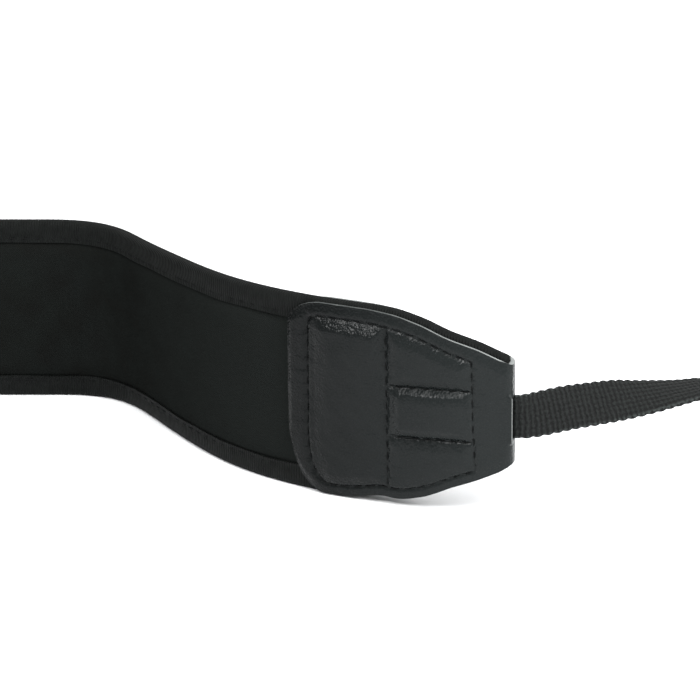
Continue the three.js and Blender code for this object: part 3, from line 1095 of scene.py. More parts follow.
@dataclass
class NeckPad:
    """The foam pad faced with jersey, swollen between its bindings and creased at its bends."""

    sizes: StrapSizes
    band: Band
    shift: Array
    thickness: float = 4.4
    sewn_thickness: float = 2.9
    thinning: float = 9.0
    pinching: float = 4.0
    # The rounded shoulders beside the tape, and the crown between them
    under_tape: float = 0.2
    shoulder: float = 4.2
    crown: float = 0.07
    # Where it is free of the patch, with its ripples and the creases at its bends
    free_span: tuple[float, float] = (-2.0, 8.0)
    ripple_seed: int = 11
    ripple_length: float = 26.0
    ripple_height: float = 0.1
    crease_at: float = 96.0
    crease_reach: float = 13.0
    crease_pitch: float = 7.5
    crease_sway: float = 0.6
    sway_height: float = 5.0
    crease_front: float = 0.09
    crease_back: float = 0.04
    step: float = 1.1
    columns: int = 56

    def half_thickness(self, from_fold: Array) -> Array:
        """Half the pad's thickness on its middle line.

        Args:
            from_fold: Distances from the fold.

        Returns:
            Half the thickness at each.
        """
        s = self.sizes
        past_seam = smooth(from_fold, s.cross_seam, s.cross_seam + self.pinching)
        past_patch = smooth(from_fold, s.patch_length, s.patch_length + self.thinning)
        sewn = s.pinched_thickness + (self.sewn_thickness - s.pinched_thickness) * past_seam
        return (sewn + (self.thickness - sewn) * past_patch) / 2

    def creases(self, distance: Array, height: Array) -> Array:
        """The soft creases where the pad bends.

        Args:
            distance: Distances from the pad's middle.
            height: Heights from its middle line.

        Returns:
            Their relief, from -1 to 1.
        """
        reach = np.abs(distance)
        bend = np.exp(-(((reach - self.crease_at) / self.crease_reach) ** 2))
        swayed = reach + self.crease_sway * np.sin(height / self.sway_height)
        return bend * np.sin(2 * pi * swayed / self.crease_pitch)

    def grids(self) -> tuple[Array, Array, Array]:
        """Lays out the pad's two faces.

        Returns:
            The front grid, the back grid and the pattern coordinates.
        """
        s = self.sizes
        end = s.fold_at - s.pad_end_inset
        distance = np.linspace(-end, end, int(2 * end / self.step) + 1)[:, None]
        from_fold = s.fold_at - np.abs(distance)
        shrink = self.band.shrink(distance)
        core = s.half_width - s.tape_thickness - s.layer_gap - shrink
        height = core * np.linspace(-1, 1, self.columns)[None, :]
        tape_edge = s.half_width - s.tape_depth - s.layer_gap - shrink
        inside = np.clip((tape_edge + self.under_tape - np.abs(height)) / self.shoulder, 0, 1)
        shoulder = np.sqrt(1 - (1 - inside) ** 2)
        crown = 1 - self.crown + self.crown * np.clip(1 - (height / tape_edge) ** 2, 0, 1)
        flat = s.bound_thickness / 2
        half = flat + (self.half_thickness(from_fold) * crown - flat) * shoulder
        starts, ends = (s.patch_length + past for past in self.free_span)
        free = smooth(from_fold, starts, ends) * shoulder
        soft = Ripple(self.ripple_seed, self.ripple_length)(distance, height) * self.ripple_height
        creases = self.creases(distance, height)
        frames = self.band.frames(distance[:, 0])
        front = frames.point(height, half + free * (soft + self.crease_front * creases))
        back = frames.point(height, -half + free * (soft - self.crease_back * creases))
        return front, back, paired(distance, height)

    def build(self, rack: Rack) -> Piece:
        """Makes the pad.

        Args:
            rack: The materials.

        Returns:
            The pad.
        """
        front, back, pattern = self.grids()
        sheet = Sheet()
        sheet.add_wall(front + self.shift, back + self.shift, pattern)
        pad = sheet.build("foam_pad_jersey", [rack.jersey])
        settle(pad, ("neck_pad",))
        return pad


class Edge(Enum):
    """The two long edges of the pad."""

    UPPER = 1
    LOWER = -1


class Side(Enum):
    """The strap's two ends."""

    RIGHT = "right"
    LEFT = "left"


@dataclass
class EdgeBinding:
    """The ribbed tape folded over one edge of the pad, and the thread that holds it."""

    sizes: StrapSizes
    band: Band
    shift: Array
    edge: Edge
    step: float = 0.7
    round_radius: float = 1.05
    roundest: float = 0.7
    back_gap: float = 0.02
    # Its ends, which close in a squarish curve inside the folds
    into_fold: float = 1.62
    squareness: float = 3.2
    tip: float = 0.05
    # The relief of its faces: the seam, the lip by the pad and the swell over the pad's edge
    seam_inset: float = 1.0
    seam_width: float = 0.42
    seam_depth: float = 0.17
    seam_evenness: float = 0.55
    lip_width: float = 0.5
    lip_height: float = 0.06
    swell_span: tuple[float, float] = (0.3, 1.8)
    swell_height: float = 0.12
    # Its unevenness, and how its inner edge wanders
    ripple_seed: int = 23
    ripple_length: float = 9.0
    ripple_height: float = 0.05
    wander_seed: int = 37
    wander_length: float = 14.0
    wander: float = 0.1
    wander_depth: float = 0.4
    # Where the relief fades out: round the edge, and under the patches
    face_blend: float = 0.3
    past_patch: tuple[float, float] = (-1.5, 1.0)
    # Its stitches, which lie bedded in it and stop short of the patches
    stitch_seed: int = 41
    stitch_bed: float = 0.06
    stitch_gap: float = 0.5
    thread: Thread = Thread(pitch=3.1, length=2.3, stand=-0.04)

    def section(self, out: float, edge: float) -> tuple[Array, Array]:
        """The tape's path over the edge, from the front face to the back.

        Args:
            out: How far its faces stand off the band's middle.
            edge: How far the fold reaches past the band's middle line.

        Returns:
            Heights and offsets along the path.
        """
        inner = self.sizes.half_width - self.sizes.tape_depth
        radius = min(self.round_radius, out * self.roundest)
        turn = np.radians(np.linspace(0, 90, 6))
        face = np.linspace(inner, edge - radius, 8)[:-1]
        corner = edge - radius + radius * np.sin(turn)
        heights = np.concatenate([face, corner])
        offsets = np.concatenate([np.full(len(face), out), out - radius + radius * np.cos(turn)])
        return np.concatenate([heights, heights[::-1]]), np.concatenate([offsets, -offsets[::-1]])

    def relief(self, distance: Array, depth: Array) -> Array:
        """How far the tape's face stands out or dips.

        Args:
            distance: Distances from the pad's middle.
            depth: Depths from the tape's inner edge.

        Returns:
            The relief there.
        """
        seam = np.exp(-(((depth - self.seam_inset) / self.seam_width) ** 2))
        stitches = np.cos(2 * pi * distance / self.thread.pitch)
        stitched = self.seam_evenness + (1 - self.seam_evenness) * stitches
        lip = self.lip_height * np.exp(-((depth / self.lip_width) ** 2))
        starts, ends = (self.seam_inset + past for past in self.swell_span)
        swell = self.swell_height * smooth(depth, starts, ends)
        ripple = Ripple(self.ripple_seed, self.ripple_length)(distance, depth)
        return lip + swell - self.seam_depth * seam * stitched + self.ripple_height * ripple

    def build(self, rack: Rack) -> None:
        """Makes the tape and its stitches.

        Args:
            rack: The materials.
        """
        s = self.sizes
        end = s.fold_at + self.into_fold
        distance = np.linspace(-end, end, int(2 * end / self.step) + 1)
        frames = self.band.frames(distance)
        way = self.edge.value
        from_fold = s.fold_at - np.abs(distance)
        inside_fold = np.clip(-from_fold, 0, None)[:, None]
        round_end = 1 - (inside_fold / (s.fold_inside + self.tip)) ** self.squareness
        squeeze = round_end ** (1 / self.squareness)
        drawn = -self.band.lifted(from_fold) if way > 0 else self.band.tucked(from_fold)
        shrink = self.band.shrink(distance)[:, None] + s.fold_slope * inside_fold + drawn[:, None]
        inside = s.bound_thickness / 2 + s.layer_gap
        outer = self.section(inside + s.tape_thickness, s.half_width)
        inner = self.section(inside + self.back_gap, s.half_width - s.tape_thickness + self.back_gap)
        depth = outer[0] - (s.half_width - s.tape_depth)
        turned = s.half_width - self.round_radius - outer[0]
        face = smooth(turned, -self.face_blend, self.face_blend)
        starts, ends = (s.patch_length + past for past in self.past_patch)
        bare = smooth(from_fold, starts, ends)[:, None]
        lift = self.relief(distance[:, None], depth[None, :]) * face[None, :] * bare
        drift = Ripple(self.wander_seed + way, self.wander_length)(distance, 0.0)
        wander = self.wander * drift[:, None] * (depth < self.wander_depth)[None, :]
        outer_stand = (outer[1] + np.sign(outer[1]) * lift) * squeeze
        front = frames.point(way * (outer[0][None, :] - shrink + wander), outer_stand)
        back = frames.point(way * (inner[0][None, :] - shrink + wander), inner[1] * squeeze)
        pattern = paired(distance[:, None], run_along(np.stack(outer, 1))[None, :])
        if way < 0:
            front, back, pattern = front[:, ::-1], back[:, ::-1], pattern[:, ::-1]
        name = self.edge.name.lower()
        sheet = Sheet()
        sheet.add_wall(front + self.shift, back + self.shift, pattern)
        settle(sheet.build(f"{name}_tape", [rack.tape]), (f"{name}_binding",))
        self.stitch(rack, name)

    def stitch(self, rack: Rack, name: str) -> None:
        """Sews the tape down on both faces, between the patches.

        Args:
            rack: The materials.
            name: The edge's name.
        """
        s = self.sizes
        reach = s.fold_at - s.patch_length - self.stitch_gap
        distance = np.linspace(-reach, reach, 700)
        frames = self.band.frames(distance)
        height = s.half_width - s.tape_depth + self.seam_inset - self.band.shrink(distance)
        sheet = Sheet()
        for side in (1, -1):
            stand = np.full_like(height, side * (s.bound_half - self.stitch_bed))
            line = frames.point((self.edge.value * height)[:, None], stand[:, None])[:, 0]
            seed = self.stitch_seed + side
            self.thread.sew(sheet, line + self.shift, side * frames.front, seed)
        settle(sheet.build(f"{name}_tape_stitches", [rack.thread]))


# The end patches


@dataclass
class EndPatch:
    """The leather folded round one end of the pad, sewn through with a box round the webbing."""

    sizes: StrapSizes
    band: Band
    shift: Array
    # The cut corners of the free end
    corner_length: float = 8.5
    upper_corner: float = 5.5
    lower_corner: float = 17.0
    # The seams: their distance from the edges, and the turns of the outline seam
    upper_hem: float = 3.0
    lower_hem: float = 2.3
    end_hem: float = 4.8
    low_turn: float = 5.0
    low_rise: float = 11.0
    high_turn: float = 2.5
    high_drop: float = 2.0
    box_half: float = 5.65
    # How far the edges lie inside the tape's
    inset_above: float = 0.95
    inset_below: float = 0.1
    inset_by_end: float = 0.4
    inset_span: tuple[float, float] = (10.0, 34.0)
    # The thinned edges, the pressed fold and the lip of its slot
    skive: float = 0.56
    skive_span: tuple[float, float] = (-0.4, 3.0)
    fold_press: float = 0.62
    fold_corner: float = 1.9
    lip: float = 0.25
    lip_open: float = 0.45
    lip_span: tuple[float, float] = (-0.4, 1.1)
    # The swelling over the foam, less in the small fields and in the lower part
    swell: float = 1.15
    swell_run: float = 3.0
    small_swell: float = 0.62
    low_swell: float = 0.55
    low_span: tuple[float, float] = (-6.0, 14.0)
    field_edge: float = 0.8
    free_edge: float = 6.0
    hem_swell: float = 0.1
    # The front leaf over the webbing
    crown: float = 0.5
    crown_run: float = 3.4
    drape_above: float = 1.7
    drape_below: float = 2.4
    drape_end: float = 3.6
    webbing_end: float = 3.4
    foot_above: float = 0.5
    foot_below: float = 1.5
    # The grooves that the stitches pull, and the puckers between them
    groove_width: float = 0.4
    cross_groove_width: float = 0.14
    groove_depth: float = 0.3
    stitch_depth: float = 0.12
    pucker: float = 0.07
    pucker_reach: float = 1.4
    # The leather's unevenness, coarse and fine
    uneven_seed: int = 53
    uneven_length: float = 7.0
    uneven: float = 0.05
    grainy_seed: int = 59
    grainy_length: float = 3.0
    grainy: float = 0.03
    # The skived free end, the first row by the fold, and the stitches' height over the leather
    end_slant: float = 2.5
    leaf_start: float = 0.2
    stitch_seed: int = 61
    stitch_lift: float = 0.08
    thread: Thread = Thread(pitch=2.9, length=2.1, stand=-0.05)

    # Rows of a leaf from its free end to its fold, rows of the fold, and where its slot lies
    LEAF_ROWS: ClassVar[tuple[int, ...]] = (18, 54, 54, 16)
    FOLD_ROWS: ClassVar[int] = 37
    SLOT_START: ClassVar[int] = 13
    SLOT_ROWS: ClassVar[int] = 10
    SLOT_COLUMNS: ClassVar[int] = 26
    BLOCK: ClassVar[int] = 2000

    def half_height(self, from_fold: Any, way: int) -> Any:
        """How far the patch reaches from the band's middle.

        Args:
            from_fold: Distances from the fold's centre.
            way: 1 for its upper half, -1 for its lower one.

        Returns:
            The height of that half, a little fuller towards the free end.
        """
        by_fold = self.inset_above if way > 0 else self.inset_below
        full = self.band.outline_half(from_fold, self.sizes.half_width) - by_fold
        full = full + (self.band.lifted(from_fold) if way > 0 else -self.band.tucked(from_fold))
        return full + (by_fold - self.inset_by_end) * smooth(from_fold, *self.inset_span)

    def seam_above(self, from_fold: Any) -> Any:
        """Height of the seam along the upper edge."""
        return self.half_height(from_fold, 1) - self.upper_hem

    def seam_below(self, from_fold: Any) -> Any:
        """Height of the seam along the lower edge."""
        return self.lower_hem - self.half_height(from_fold, -1)

    @staticmethod
    def dense(start: float, end: float, count: int) -> Array:
        """Divides a stretch closely at its ends and wider in the middle.

        Args:
            start: Where it starts.
            end: Where it ends.
            count: How many parts it gets.

        Returns:
            The dividing points, both ends among them.
        """
        even = np.linspace(0, 1, count + 1)
        return start + (end - start) * (0.35 * even + 0.65 * (0.5 - 0.5 * np.cos(pi * even)))

    def seams(self) -> list[Array]:
        """Draws the sewn lines: the outline, the seam across it and the two beside the webbing.

        Returns:
            Points of each, as distance from the fold and height.
        """
        s = self.sizes
        left = s.patch_length - self.end_hem
        low = left - self.low_turn
        high = left - self.high_turn
        turn = np.radians(np.linspace(0, 90, 14))
        back = turn[::-1]
        run_low = np.linspace(s.end_seam, low, 90)
        run_high = np.linspace(high, s.end_seam, 100)
        rise_low = self.seam_below(np.full_like(turn, low)) + self.low_rise * (1 - np.cos(turn))
        drop_high = self.seam_above(np.full_like(turn, high)) - self.high_drop * (1 - np.cos(back))
        closing = np.linspace(self.seam_above(s.end_seam), self.seam_below(s.end_seam), 60)
        u = np.concatenate([run_low, low + self.low_turn * np.sin(turn),
                            high + self.high_turn * np.sin(back), run_high,
                            np.full_like(closing, s.end_seam)])
        y = np.concatenate([self.seam_below(run_low), rise_low, drop_high,
                            self.seam_above(run_high), closing])
        across = np.linspace(self.seam_below(s.cross_seam), self.seam_above(s.cross_seam), 90)
        along = np.linspace(s.end_seam, s.cross_seam, 60)
        lines = [(u, y), (np.full_like(across, s.cross_seam), across)]
        lines += [(along, np.full_like(along, way * self.box_half - s.slot_drop)) for way in (1, -1)]
        return [self.even(np.stack(line, 1)) for line in lines]

    @staticmethod
    def even(line: Array, step: float = 0.2) -> Array:
        """Spaces the points of a line evenly."""
        run = run_along(line)
        return read_along(np.linspace(0, run[-1], int(run[-1] / step) + 1), run, line)

    def nearest(self, u: Array, y: Array) -> tuple[Array, Array]:
        """Finds the nearest seam.

        Args:
            u: Distances from the fold.
            y: Heights.

        Returns:
            The distance to the nearest seam, and how far along its stitches that is.
        """
        lines = self.seams()
        points = np.concatenate(lines)
        along = np.concatenate([run_along(line) for line in lines])
        flat = np.stack([u.ravel(), y.ravel()], 1)
        gap = np.empty(len(flat))
        run = np.empty(len(flat))
        for first in range(0, len(flat), self.BLOCK):
            part = slice(first, first + self.BLOCK)
            apart = np.hypot(flat[part, None, 0] - points[:, 0], flat[part, None, 1] - points[:, 1])
            gap[part] = apart.min(1)
            run[part] = along[apart.argmin(1)]
        return gap.reshape(u.shape), run.reshape(u.shape)

    def webbing_shift(self, from_fold: Any) -> Any:
        """How far the webbing lies in front of the band's middle.

        Args:
            from_fold: Distances from the fold.

        Returns:
            The offsets there.
        """
        s = self.sizes
        offset = s.pinched_thickness / 2 + s.layer_gap + s.webbing_thickness / 2
        return offset * smooth(from_fold, 0, s.pad_end_inset - 1)

    def swelling(self, u: Array, y: Array, gap: Array, is_front: bool) -> Array:
        """How far the leather swells over the foam, between its seams and along its hem.

        Args:
            u: Distances from the fold.
            y: Heights.
            gap: Distances to the nearest seam.
            is_front: Whether it is the front leaf, over the webbing.

        Returns:
            The relief there.
        """
        s = self.sizes
        soft = self.field_edge
        from_seam = np.minimum(self.seam_above(u) - y, y - self.seam_below(u))
        field_height = smooth(from_seam, 0, soft)
        big = field_height * smooth(u, s.cross_seam, s.cross_seam + soft)
        big = big * smooth(s.patch_length - self.end_hem - u, 0, self.free_edge)
        small = field_height * smooth(s.cross_seam - u, 0, soft)
        small = small * smooth(u, s.end_seam, s.end_seam + soft)
        hem = (1 - np.clip(big + small, 0, 1)) * smooth(u, s.end_seam - 1, s.end_seam + 3)
        if is_front:
            foot = np.where(y < -s.slot_drop, self.foot_below, self.foot_above)
            small = small * smooth(np.abs(y + s.slot_drop), self.box_half, self.box_half + foot)
        lofty = self.low_swell + (1 - self.low_swell) * smooth(y, *self.low_span)
        rise = smooth(gap, 0.1, self.swell_run)
        field = self.swell * rise * lofty * (big + self.small_swell * small)
        return field + self.hem_swell * hem * smooth(gap, 0.15, 1.3)

    def over_webbing(self, u: Array, y: Array, inner: Array) -> Array:
        """Lifts the front leaf over the webbing that is sewn in under it.

        Args:
            u: Distances from the fold.
            y: Heights.
            inner: Offsets of the leaf's inside from the band's middle, without the webbing.

        Returns:
            The offsets with it.
        """
        s = self.sizes
        base = s.leaf_inside
        over = self.webbing_shift(u) + s.webbing_thickness / 2 + s.layer_gap
        from_slot = np.abs(y + s.slot_drop)
        within = self.box_half - from_slot
        foot = np.where(y < -s.slot_drop, self.drape_below, self.drape_above)
        drape = (over - base) * smooth(within, 0.0, foot)
        drape = drape + self.crown * smooth(within, 0.2, self.crown_run) * smooth(u, 2, 8)
        inner = np.maximum(inner, base + drape * smooth(s.cross_seam - u, 0.1, self.drape_end))
        inside = (from_slot < s.webbing_width / 2 + 0.1) & (u < s.cross_seam - self.webbing_end)
        return np.where(inside, np.maximum(inner, over), inner)

    def thinned(self, from_edge: Array) -> Array:
        """How much the leather is skived, by distance from its edge."""
        return self.skive * (1 - smooth(from_edge, *self.skive_span))

    def surface(self, u: Array, y: Array, half: Array, is_front: bool) -> tuple[Array, Array]:
        """The two faces of a leaf.

        Args:
            u: Distances from the fold.
            y: Heights.
            half: Half the leaf's height there, with its corners cut.
            is_front: Whether it is the front leaf, over the webbing.

        Returns:
            Offsets of its outside and of its inside from the band's middle.
        """
        s = self.sizes
        gap, run = self.nearest(u, y)
        inner = s.leaf_inside + self.swelling(u, y, gap, is_front)
        if is_front:
            inner = self.over_webbing(u, y, inner)
        width = self.groove_width + self.cross_groove_width * np.exp(-((u - s.cross_seam) ** 2))
        near = np.exp(-((gap / width) ** 2))
        stitches = np.cos(2 * pi * run / self.thread.pitch)
        groove = near * (self.groove_depth + self.stitch_depth * (0.5 + 0.5 * stitches))
        pucker = -self.pucker * stitches * np.exp(-gap / self.pucker_reach) * smooth(gap, 0.1, 0.6)
        uneven = self.uneven * Ripple(self.uneven_seed + is_front, self.uneven_length)(u, y)
        grainy = self.grainy * Ripple(self.grainy_seed + is_front, self.grainy_length)(u, y)
        relief = (pucker + (uneven + grainy)) * smooth(u, 0, 6) - groove
        from_edge = np.minimum(half - np.abs(y), self.end_slant * (s.patch_length - u))
        return inner + s.leather_thickness + relief - self.thinned(from_edge), inner

    def half_rows(self, from_fold: Array, cut: Array, way: int) -> tuple[Array, Array]:
        """The heights that divide one half of each row, from the slot out to the edge.

        Args:
            from_fold: The rows' distances from the fold.
            cut: How much of each corner is cut off there, from 0 to 1.
            way: 1 for the upper half, -1 for the lower one.

        Returns:
            Heights, rows by columns, and the half height of each row.
        """
        s = self.sizes
        hem = self.upper_hem if way > 0 else self.lower_hem
        corner = self.upper_corner if way > 0 else self.lower_corner
        whole = self.half_height(from_fold, way)[:, None]
        slot = s.slot_half - way * s.slot_drop
        box = self.box_half - way * s.slot_drop
        seam = whole - hem
        steps = [slot + (box - slot) * self.dense(0, 1, 5)[:-1],
                 box + (seam - box) * self.dense(0, 1, 42)[:-1],
                 seam + (whole - seam) * self.dense(0, 1, 11)]
        rows = [np.broadcast_to(step, (len(whole), step.shape[-1])) for step in steps]
        half = whole - corner * cut[:, None]
        return np.concatenate(rows, 1) * half / whole, half

    def heights(self, from_fold: Array, cut: Array) -> tuple[Array, Array]:
        """The heights that divide each row, close together beside its seams.

        Args:
            from_fold: The rows' distances from the fold.
            cut: How much of each corner is cut off there, from 0 to 1.

        Returns:
            Heights and the half height on each one's side, rows by columns.
        """
        above, half_high = self.half_rows(from_fold, cut, 1)
        below, half_low = self.half_rows(from_fold, cut, -1)
        below = -below[:, ::-1]
        share = np.linspace(0, 1, self.SLOT_COLUMNS + 1)[1:-1]
        between = below[:, -1:] + (above[:, :1] - below[:, -1:]) * share
        y = np.concatenate([below, between, above], 1)
        return y, np.where(y < 0, half_low, half_high)

    def fold_heights(self, turn: Array) -> Array:
        """The heights that divide the fold, lower above and cut round below towards its end.

        Args:
            turn: Angles round the fold.

        Returns:
            Heights, rows by columns.
        """
        y, _ = self.heights(np.zeros(len(turn)), np.zeros(len(turn)))
        ahead = np.sin(turn)[:, None]
        solid = self.box_half + 1
        above = self.sizes.fold_slope * self.sizes.fold_outside * ahead * smooth(y, solid, y.max())
        return y - above + self.fold_corner * ahead**self.fold_press * smooth(-y, solid, -y.min())

    def build(self, rack: Rack, side: Side) -> None:
        """Makes the patch and its stitches.

        Args:
            rack: The materials.
            side: Which end of the strap it is on.
        """
        s = self.sizes
        stops = (s.patch_length, s.patch_length - self.end_hem, s.cross_seam, s.end_seam,
                 self.leaf_start)
        parts = [self.dense(start, end, rows)[:-1]
                 for start, end, rows in zip(stops, stops[1:], self.LEAF_ROWS)]
        leaf_u = np.append(np.concatenate(parts), stops[-1])
        past = np.clip((leaf_u - s.patch_length + self.corner_length) / self.corner_length, 0, 1)
        y, half = self.heights(leaf_u, 1 - np.sqrt(1 - past**2))
        u = np.broadcast_to(leaf_u[:, None], y.shape)
        frames = self.band.frames(s.fold_at - leaf_u)
        front_out, front_in = self.surface(u, y, half, True)
        back_out, back_in = self.surface(u, y, half, False)
        turn = np.radians(np.linspace(0, 180, self.FOLD_ROWS))
        fold_y = self.fold_heights(turn)
        fold = self.band.frames(np.full(len(turn), s.fold_at))
        starts, ends = (s.slot_half + past for past in self.lip_span)
        lips = 1 - smooth(np.abs(fold_y + s.slot_drop), starts, ends)
        lips = lips * (np.cos(turn) > 0.01)[:, None]
        skived = self.thinned(np.minimum(fold_y[:, -1:] - fold_y, fold_y - fold_y[:, :1]))

        def folded(radius: float, thicker: Array) -> Array:
            """Bends one face round the fold, with a straight lip in front of the slot.

            Args:
                radius: The face's radius.
                thicker: How far it stands out past that radius.

            Returns:
                Points, rows by columns by three.
            """
            reach = radius + (s.fold_outside + self.lip - radius) * lips
            reach = reach * np.sin(turn)[:, None] ** self.fold_press
            bent = np.abs(np.cos(turn))[:, None] ** (self.fold_press * (1 - lips))
            out = (radius + thicker) * np.sign(np.round(np.cos(turn), 6))[:, None] * bent
            return fold.point(fold_y, out) + fold.along[:, None, :] * reach[..., None]

        outside = np.concatenate([frames.point(y, front_out), folded(s.fold_outside, -skived),
                                  frames.point(y, -back_out)[::-1]])
        inside = np.concatenate([frames.point(y, front_in),
                                 folded(s.fold_inside, self.lip_open * lips),
                                 frames.point(y, -back_in)[::-1]])
        round_fold = -np.degrees(turn) * 0.03
        run = np.concatenate([leaf_u, round_fold, round_fold[-1] - leaf_u[::-1]])
        across = np.concatenate([y, fold_y, y[::-1]])
        rows, columns = outside.shape[:2]
        solid = np.ones((rows - 1, columns - 1), bool)
        first = len(leaf_u) + self.SLOT_START
        low = (columns - self.SLOT_COLUMNS - 1) // 2
        solid[first : first + self.SLOT_ROWS, low : low + self.SLOT_COLUMNS] = False
        sheet = Sheet()
        sheet.add_wall(outside + self.shift, inside + self.shift, paired(run[:, None], across),
                       solid, edge_slot=1)
        mirror = side is Side.LEFT
        patch = sheet.build(f"{side.value}_leather_patch", [rack.leather, rack.cut], mirror)
        settle(patch, (f"{side.value}_end_patch",))
        sewn = Sheet()
        for number, line in enumerate(self.seams()):
            for is_front in (True, False):
                self.sew(sewn, line, is_front, self.stitch_seed + 2 * number + is_front)
        stitches = sewn.build(f"{side.value}_patch_stitches", [rack.thread], mirror)
        settle(stitches)

    def sew(self, sheet: Sheet, line: Array, is_front: bool, seed: int) -> None:
        """Sews one seam through one leaf.

        Args:
            sheet: The mesh for the stitches.
            line: The seam.
            is_front: Whether it shows on the front leaf or on the back one.
            seed: Seed of the stitches' small differences.
        """
        u, y = line[:, :1], line[:, 1:]
        outer, _ = self.surface(u, y, self.half_height(u, 1), is_front)
        way = 1 if is_front else -1
        frames = self.band.frames(self.sizes.fold_at - u[:, 0])
        points = frames.point(y, way * (outer + self.stitch_lift))[:, 0]
        self.thread.sew(sheet, points + self.shift, way * frames.front, seed)


# The webbing and its slider


@dataclass
class WebbingStrap:
    """One webbing: out of its slot, twisted flat, down to the floor and round through its slider."""

    sizes: StrapSizes
    band: Band
    patch: EndPatch
    shift: Array
    # The doubled end and its loop
    tail_length: float = 38.0
    tail_climb: float = 7.0
    loop_reach: float = 24.0
    eye_radius: float = 3.6
    bend_clearance: float = 0.5
    # The slider
    slider_length: float = 15.5
    slider_thickness: float = 1.6
    slider_rail: float = 2.2
    slider_bar: float = 2.4
    slider_drop: float = 2.6
    slider_edge: float = 0.45
    # The end that is sewn in, and the mesh's steps, closer together at the selvedges
    sewn: float = 3.5
    step: float = 0.24
    columns: int = 17
    crowding: float = 0.85
    # The selvedges' scallops, the section's fullness, the ribs and the slack
    scallop: float = 2.1
    scallop_depth: float = 0.34
    scallop_middle: float = 0.7
    edge_thinness: float = 0.45
    fullness: float = 0.5
    flatness: float = 7.0
    rib: float = 1.1
    rib_height: float = 0.05
    slack_seed: int = 71
    slack_length: float = 11.0
    slack_height: float = 0.05

    STEPS: ClassVar[int] = 3000

    def __post_init__(self) -> None:
        """Walks the webbing's way once."""
        s = self.sizes
        self.heading = Curve(WEBBING_WAY, "heading")
        self.height = Curve(WEBBING_WAY, "height")
        self.twist = Curve(WEBBING_WAY, "twist")
        fold = self.band.frames(s.fold_at)
        self.exit = (fold.centre + fold.along * s.fold_outside - fold.up * s.slot_drop)[0]
        middle = np.radians(self.heading((np.arange(self.STEPS) + 0.5) / self.STEPS))
        walked = np.stack([np.cos(middle), np.sin(middle)], 1) * s.webbing_run / self.STEPS
        self.path = self.exit[:2] + np.vstack([np.zeros(2), np.cumsum(walked, axis=0)])
        self.shares = np.linspace(0, 1, self.STEPS + 1)

    @property
    def layer_pitch(self) -> float:
        """Between the two layers at the slider."""
        return self.sizes.webbing_thickness + self.sizes.layer_gap

    @property
    def outer_bar_height(self) -> float:
        """The underside of the slider's outer bars."""
        return 2 * self.layer_pitch + self.bend_clearance

    @property
    def end_axes(self) -> tuple[Array, Array]:
        """The directions of the doubled end, which lies flat.

        Returns:
            The direction along it and the one across it.
        """
        heading = radians(float(self.heading(1.0)))
        ahead = np.array([cos(heading), sin(heading), 0.0])
        return ahead, np.cross(UPWARD, ahead)

    def flight(self, share: Array) -> tuple[Array, Array]:
        """The webbing's middle line outside the patch.

        Args:
            share: Shares of its run.

        Returns:
            The points, and the direction across the webbing at each.
        """
        half = self.sizes.webbing_thickness / 2
        z = half + (self.exit[2] - half) * self.height(share)
        points = np.column_stack([read_along(share, self.shares, self.path), z])
        heading = np.radians(self.heading(share))
        twist = np.radians(self.twist(share))[:, None]
        climb = np.gradient(z, share) / self.sizes.webbing_run
        along = unit(np.stack([np.cos(heading), np.sin(heading), climb], 1))
        left = np.stack([-np.sin(heading), np.cos(heading), 0 * heading], 1)
        return points, np.cross(along, left) * np.cos(twist) + left * np.sin(twist)

    def hump(self, forward: Array) -> Array:
        """Height of the lower layer's middle line over the slider's middle bar.

        Args:
            forward: Distances ahead of the slider's middle.

        Returns:
            The heights there.
        """
        s = self.sizes
        rise = self.outer_bar_height - self.slider_drop + self.slider_thickness + s.layer_gap
        half_length = (self.slider_length - self.slider_rail) / 2
        down = smooth(np.abs(forward), self.slider_bar / 2 + s.layer_gap, half_length)
        return s.webbing_thickness / 2 + rise * (1 - down)

    def layer(self, forward: Array, lift: float) -> Array:
        """Points of a layer that lies over the lower one.

        Args:
            forward: Distances ahead of the slider's middle.
            lift: How far it lies over the lower one.

        Returns:
            The points, as forward and height.
        """
        slope = (self.hump(forward + 1e-3) - self.hump(forward - 1e-3)) / 2e-3
        length = np.hypot(1, slope)
        return np.stack([forward - lift * slope / length, self.hump(forward) + lift / length], 1)

    def end_profile(self) -> Array:
        """Draws the doubled end as its side shows it.

        Returns:
            Points from the upper layer round the eye to the tail, as forward and height.
        """
        s = self.sizes
        half = s.webbing_thickness / 2
        bend = self.eye_radius + half
        hump_end = (self.slider_length - self.slider_rail) / 2 + 1
        upper_height = half + self.layer_pitch
        climb_end = -self.tail_length - s.layer_gap
        climb_x = np.linspace(climb_end - self.tail_climb, climb_end, 30)
        climb = smooth(climb_x, climb_end - self.tail_climb, climb_end)
        upper = self.layer(np.linspace(-hump_end, hump_end, 90), self.layer_pitch)
        swell_x = np.linspace(hump_end, self.loop_reach, 60)[1:]
        swell = (half + 2 * bend - upper_height) * smooth(swell_x, hump_end, self.loop_reach + 1)
        turn = np.radians(np.linspace(70, -90, 60))
        eye_x = self.loop_reach + bend * np.cos(turn)
        eye_z = half + bend + bend * np.sin(turn)
        lower = self.layer(np.linspace(hump_end, -hump_end, 90), 0.0)
        return np.vstack([
            np.stack([climb_x, upper_height - self.layer_pitch * (1 - climb)], 1),
            upper,
            np.stack([swell_x, upper_height + swell], 1),
            np.stack([eye_x, eye_z], 1),
            lower,
            [-self.tail_length, half],
        ])

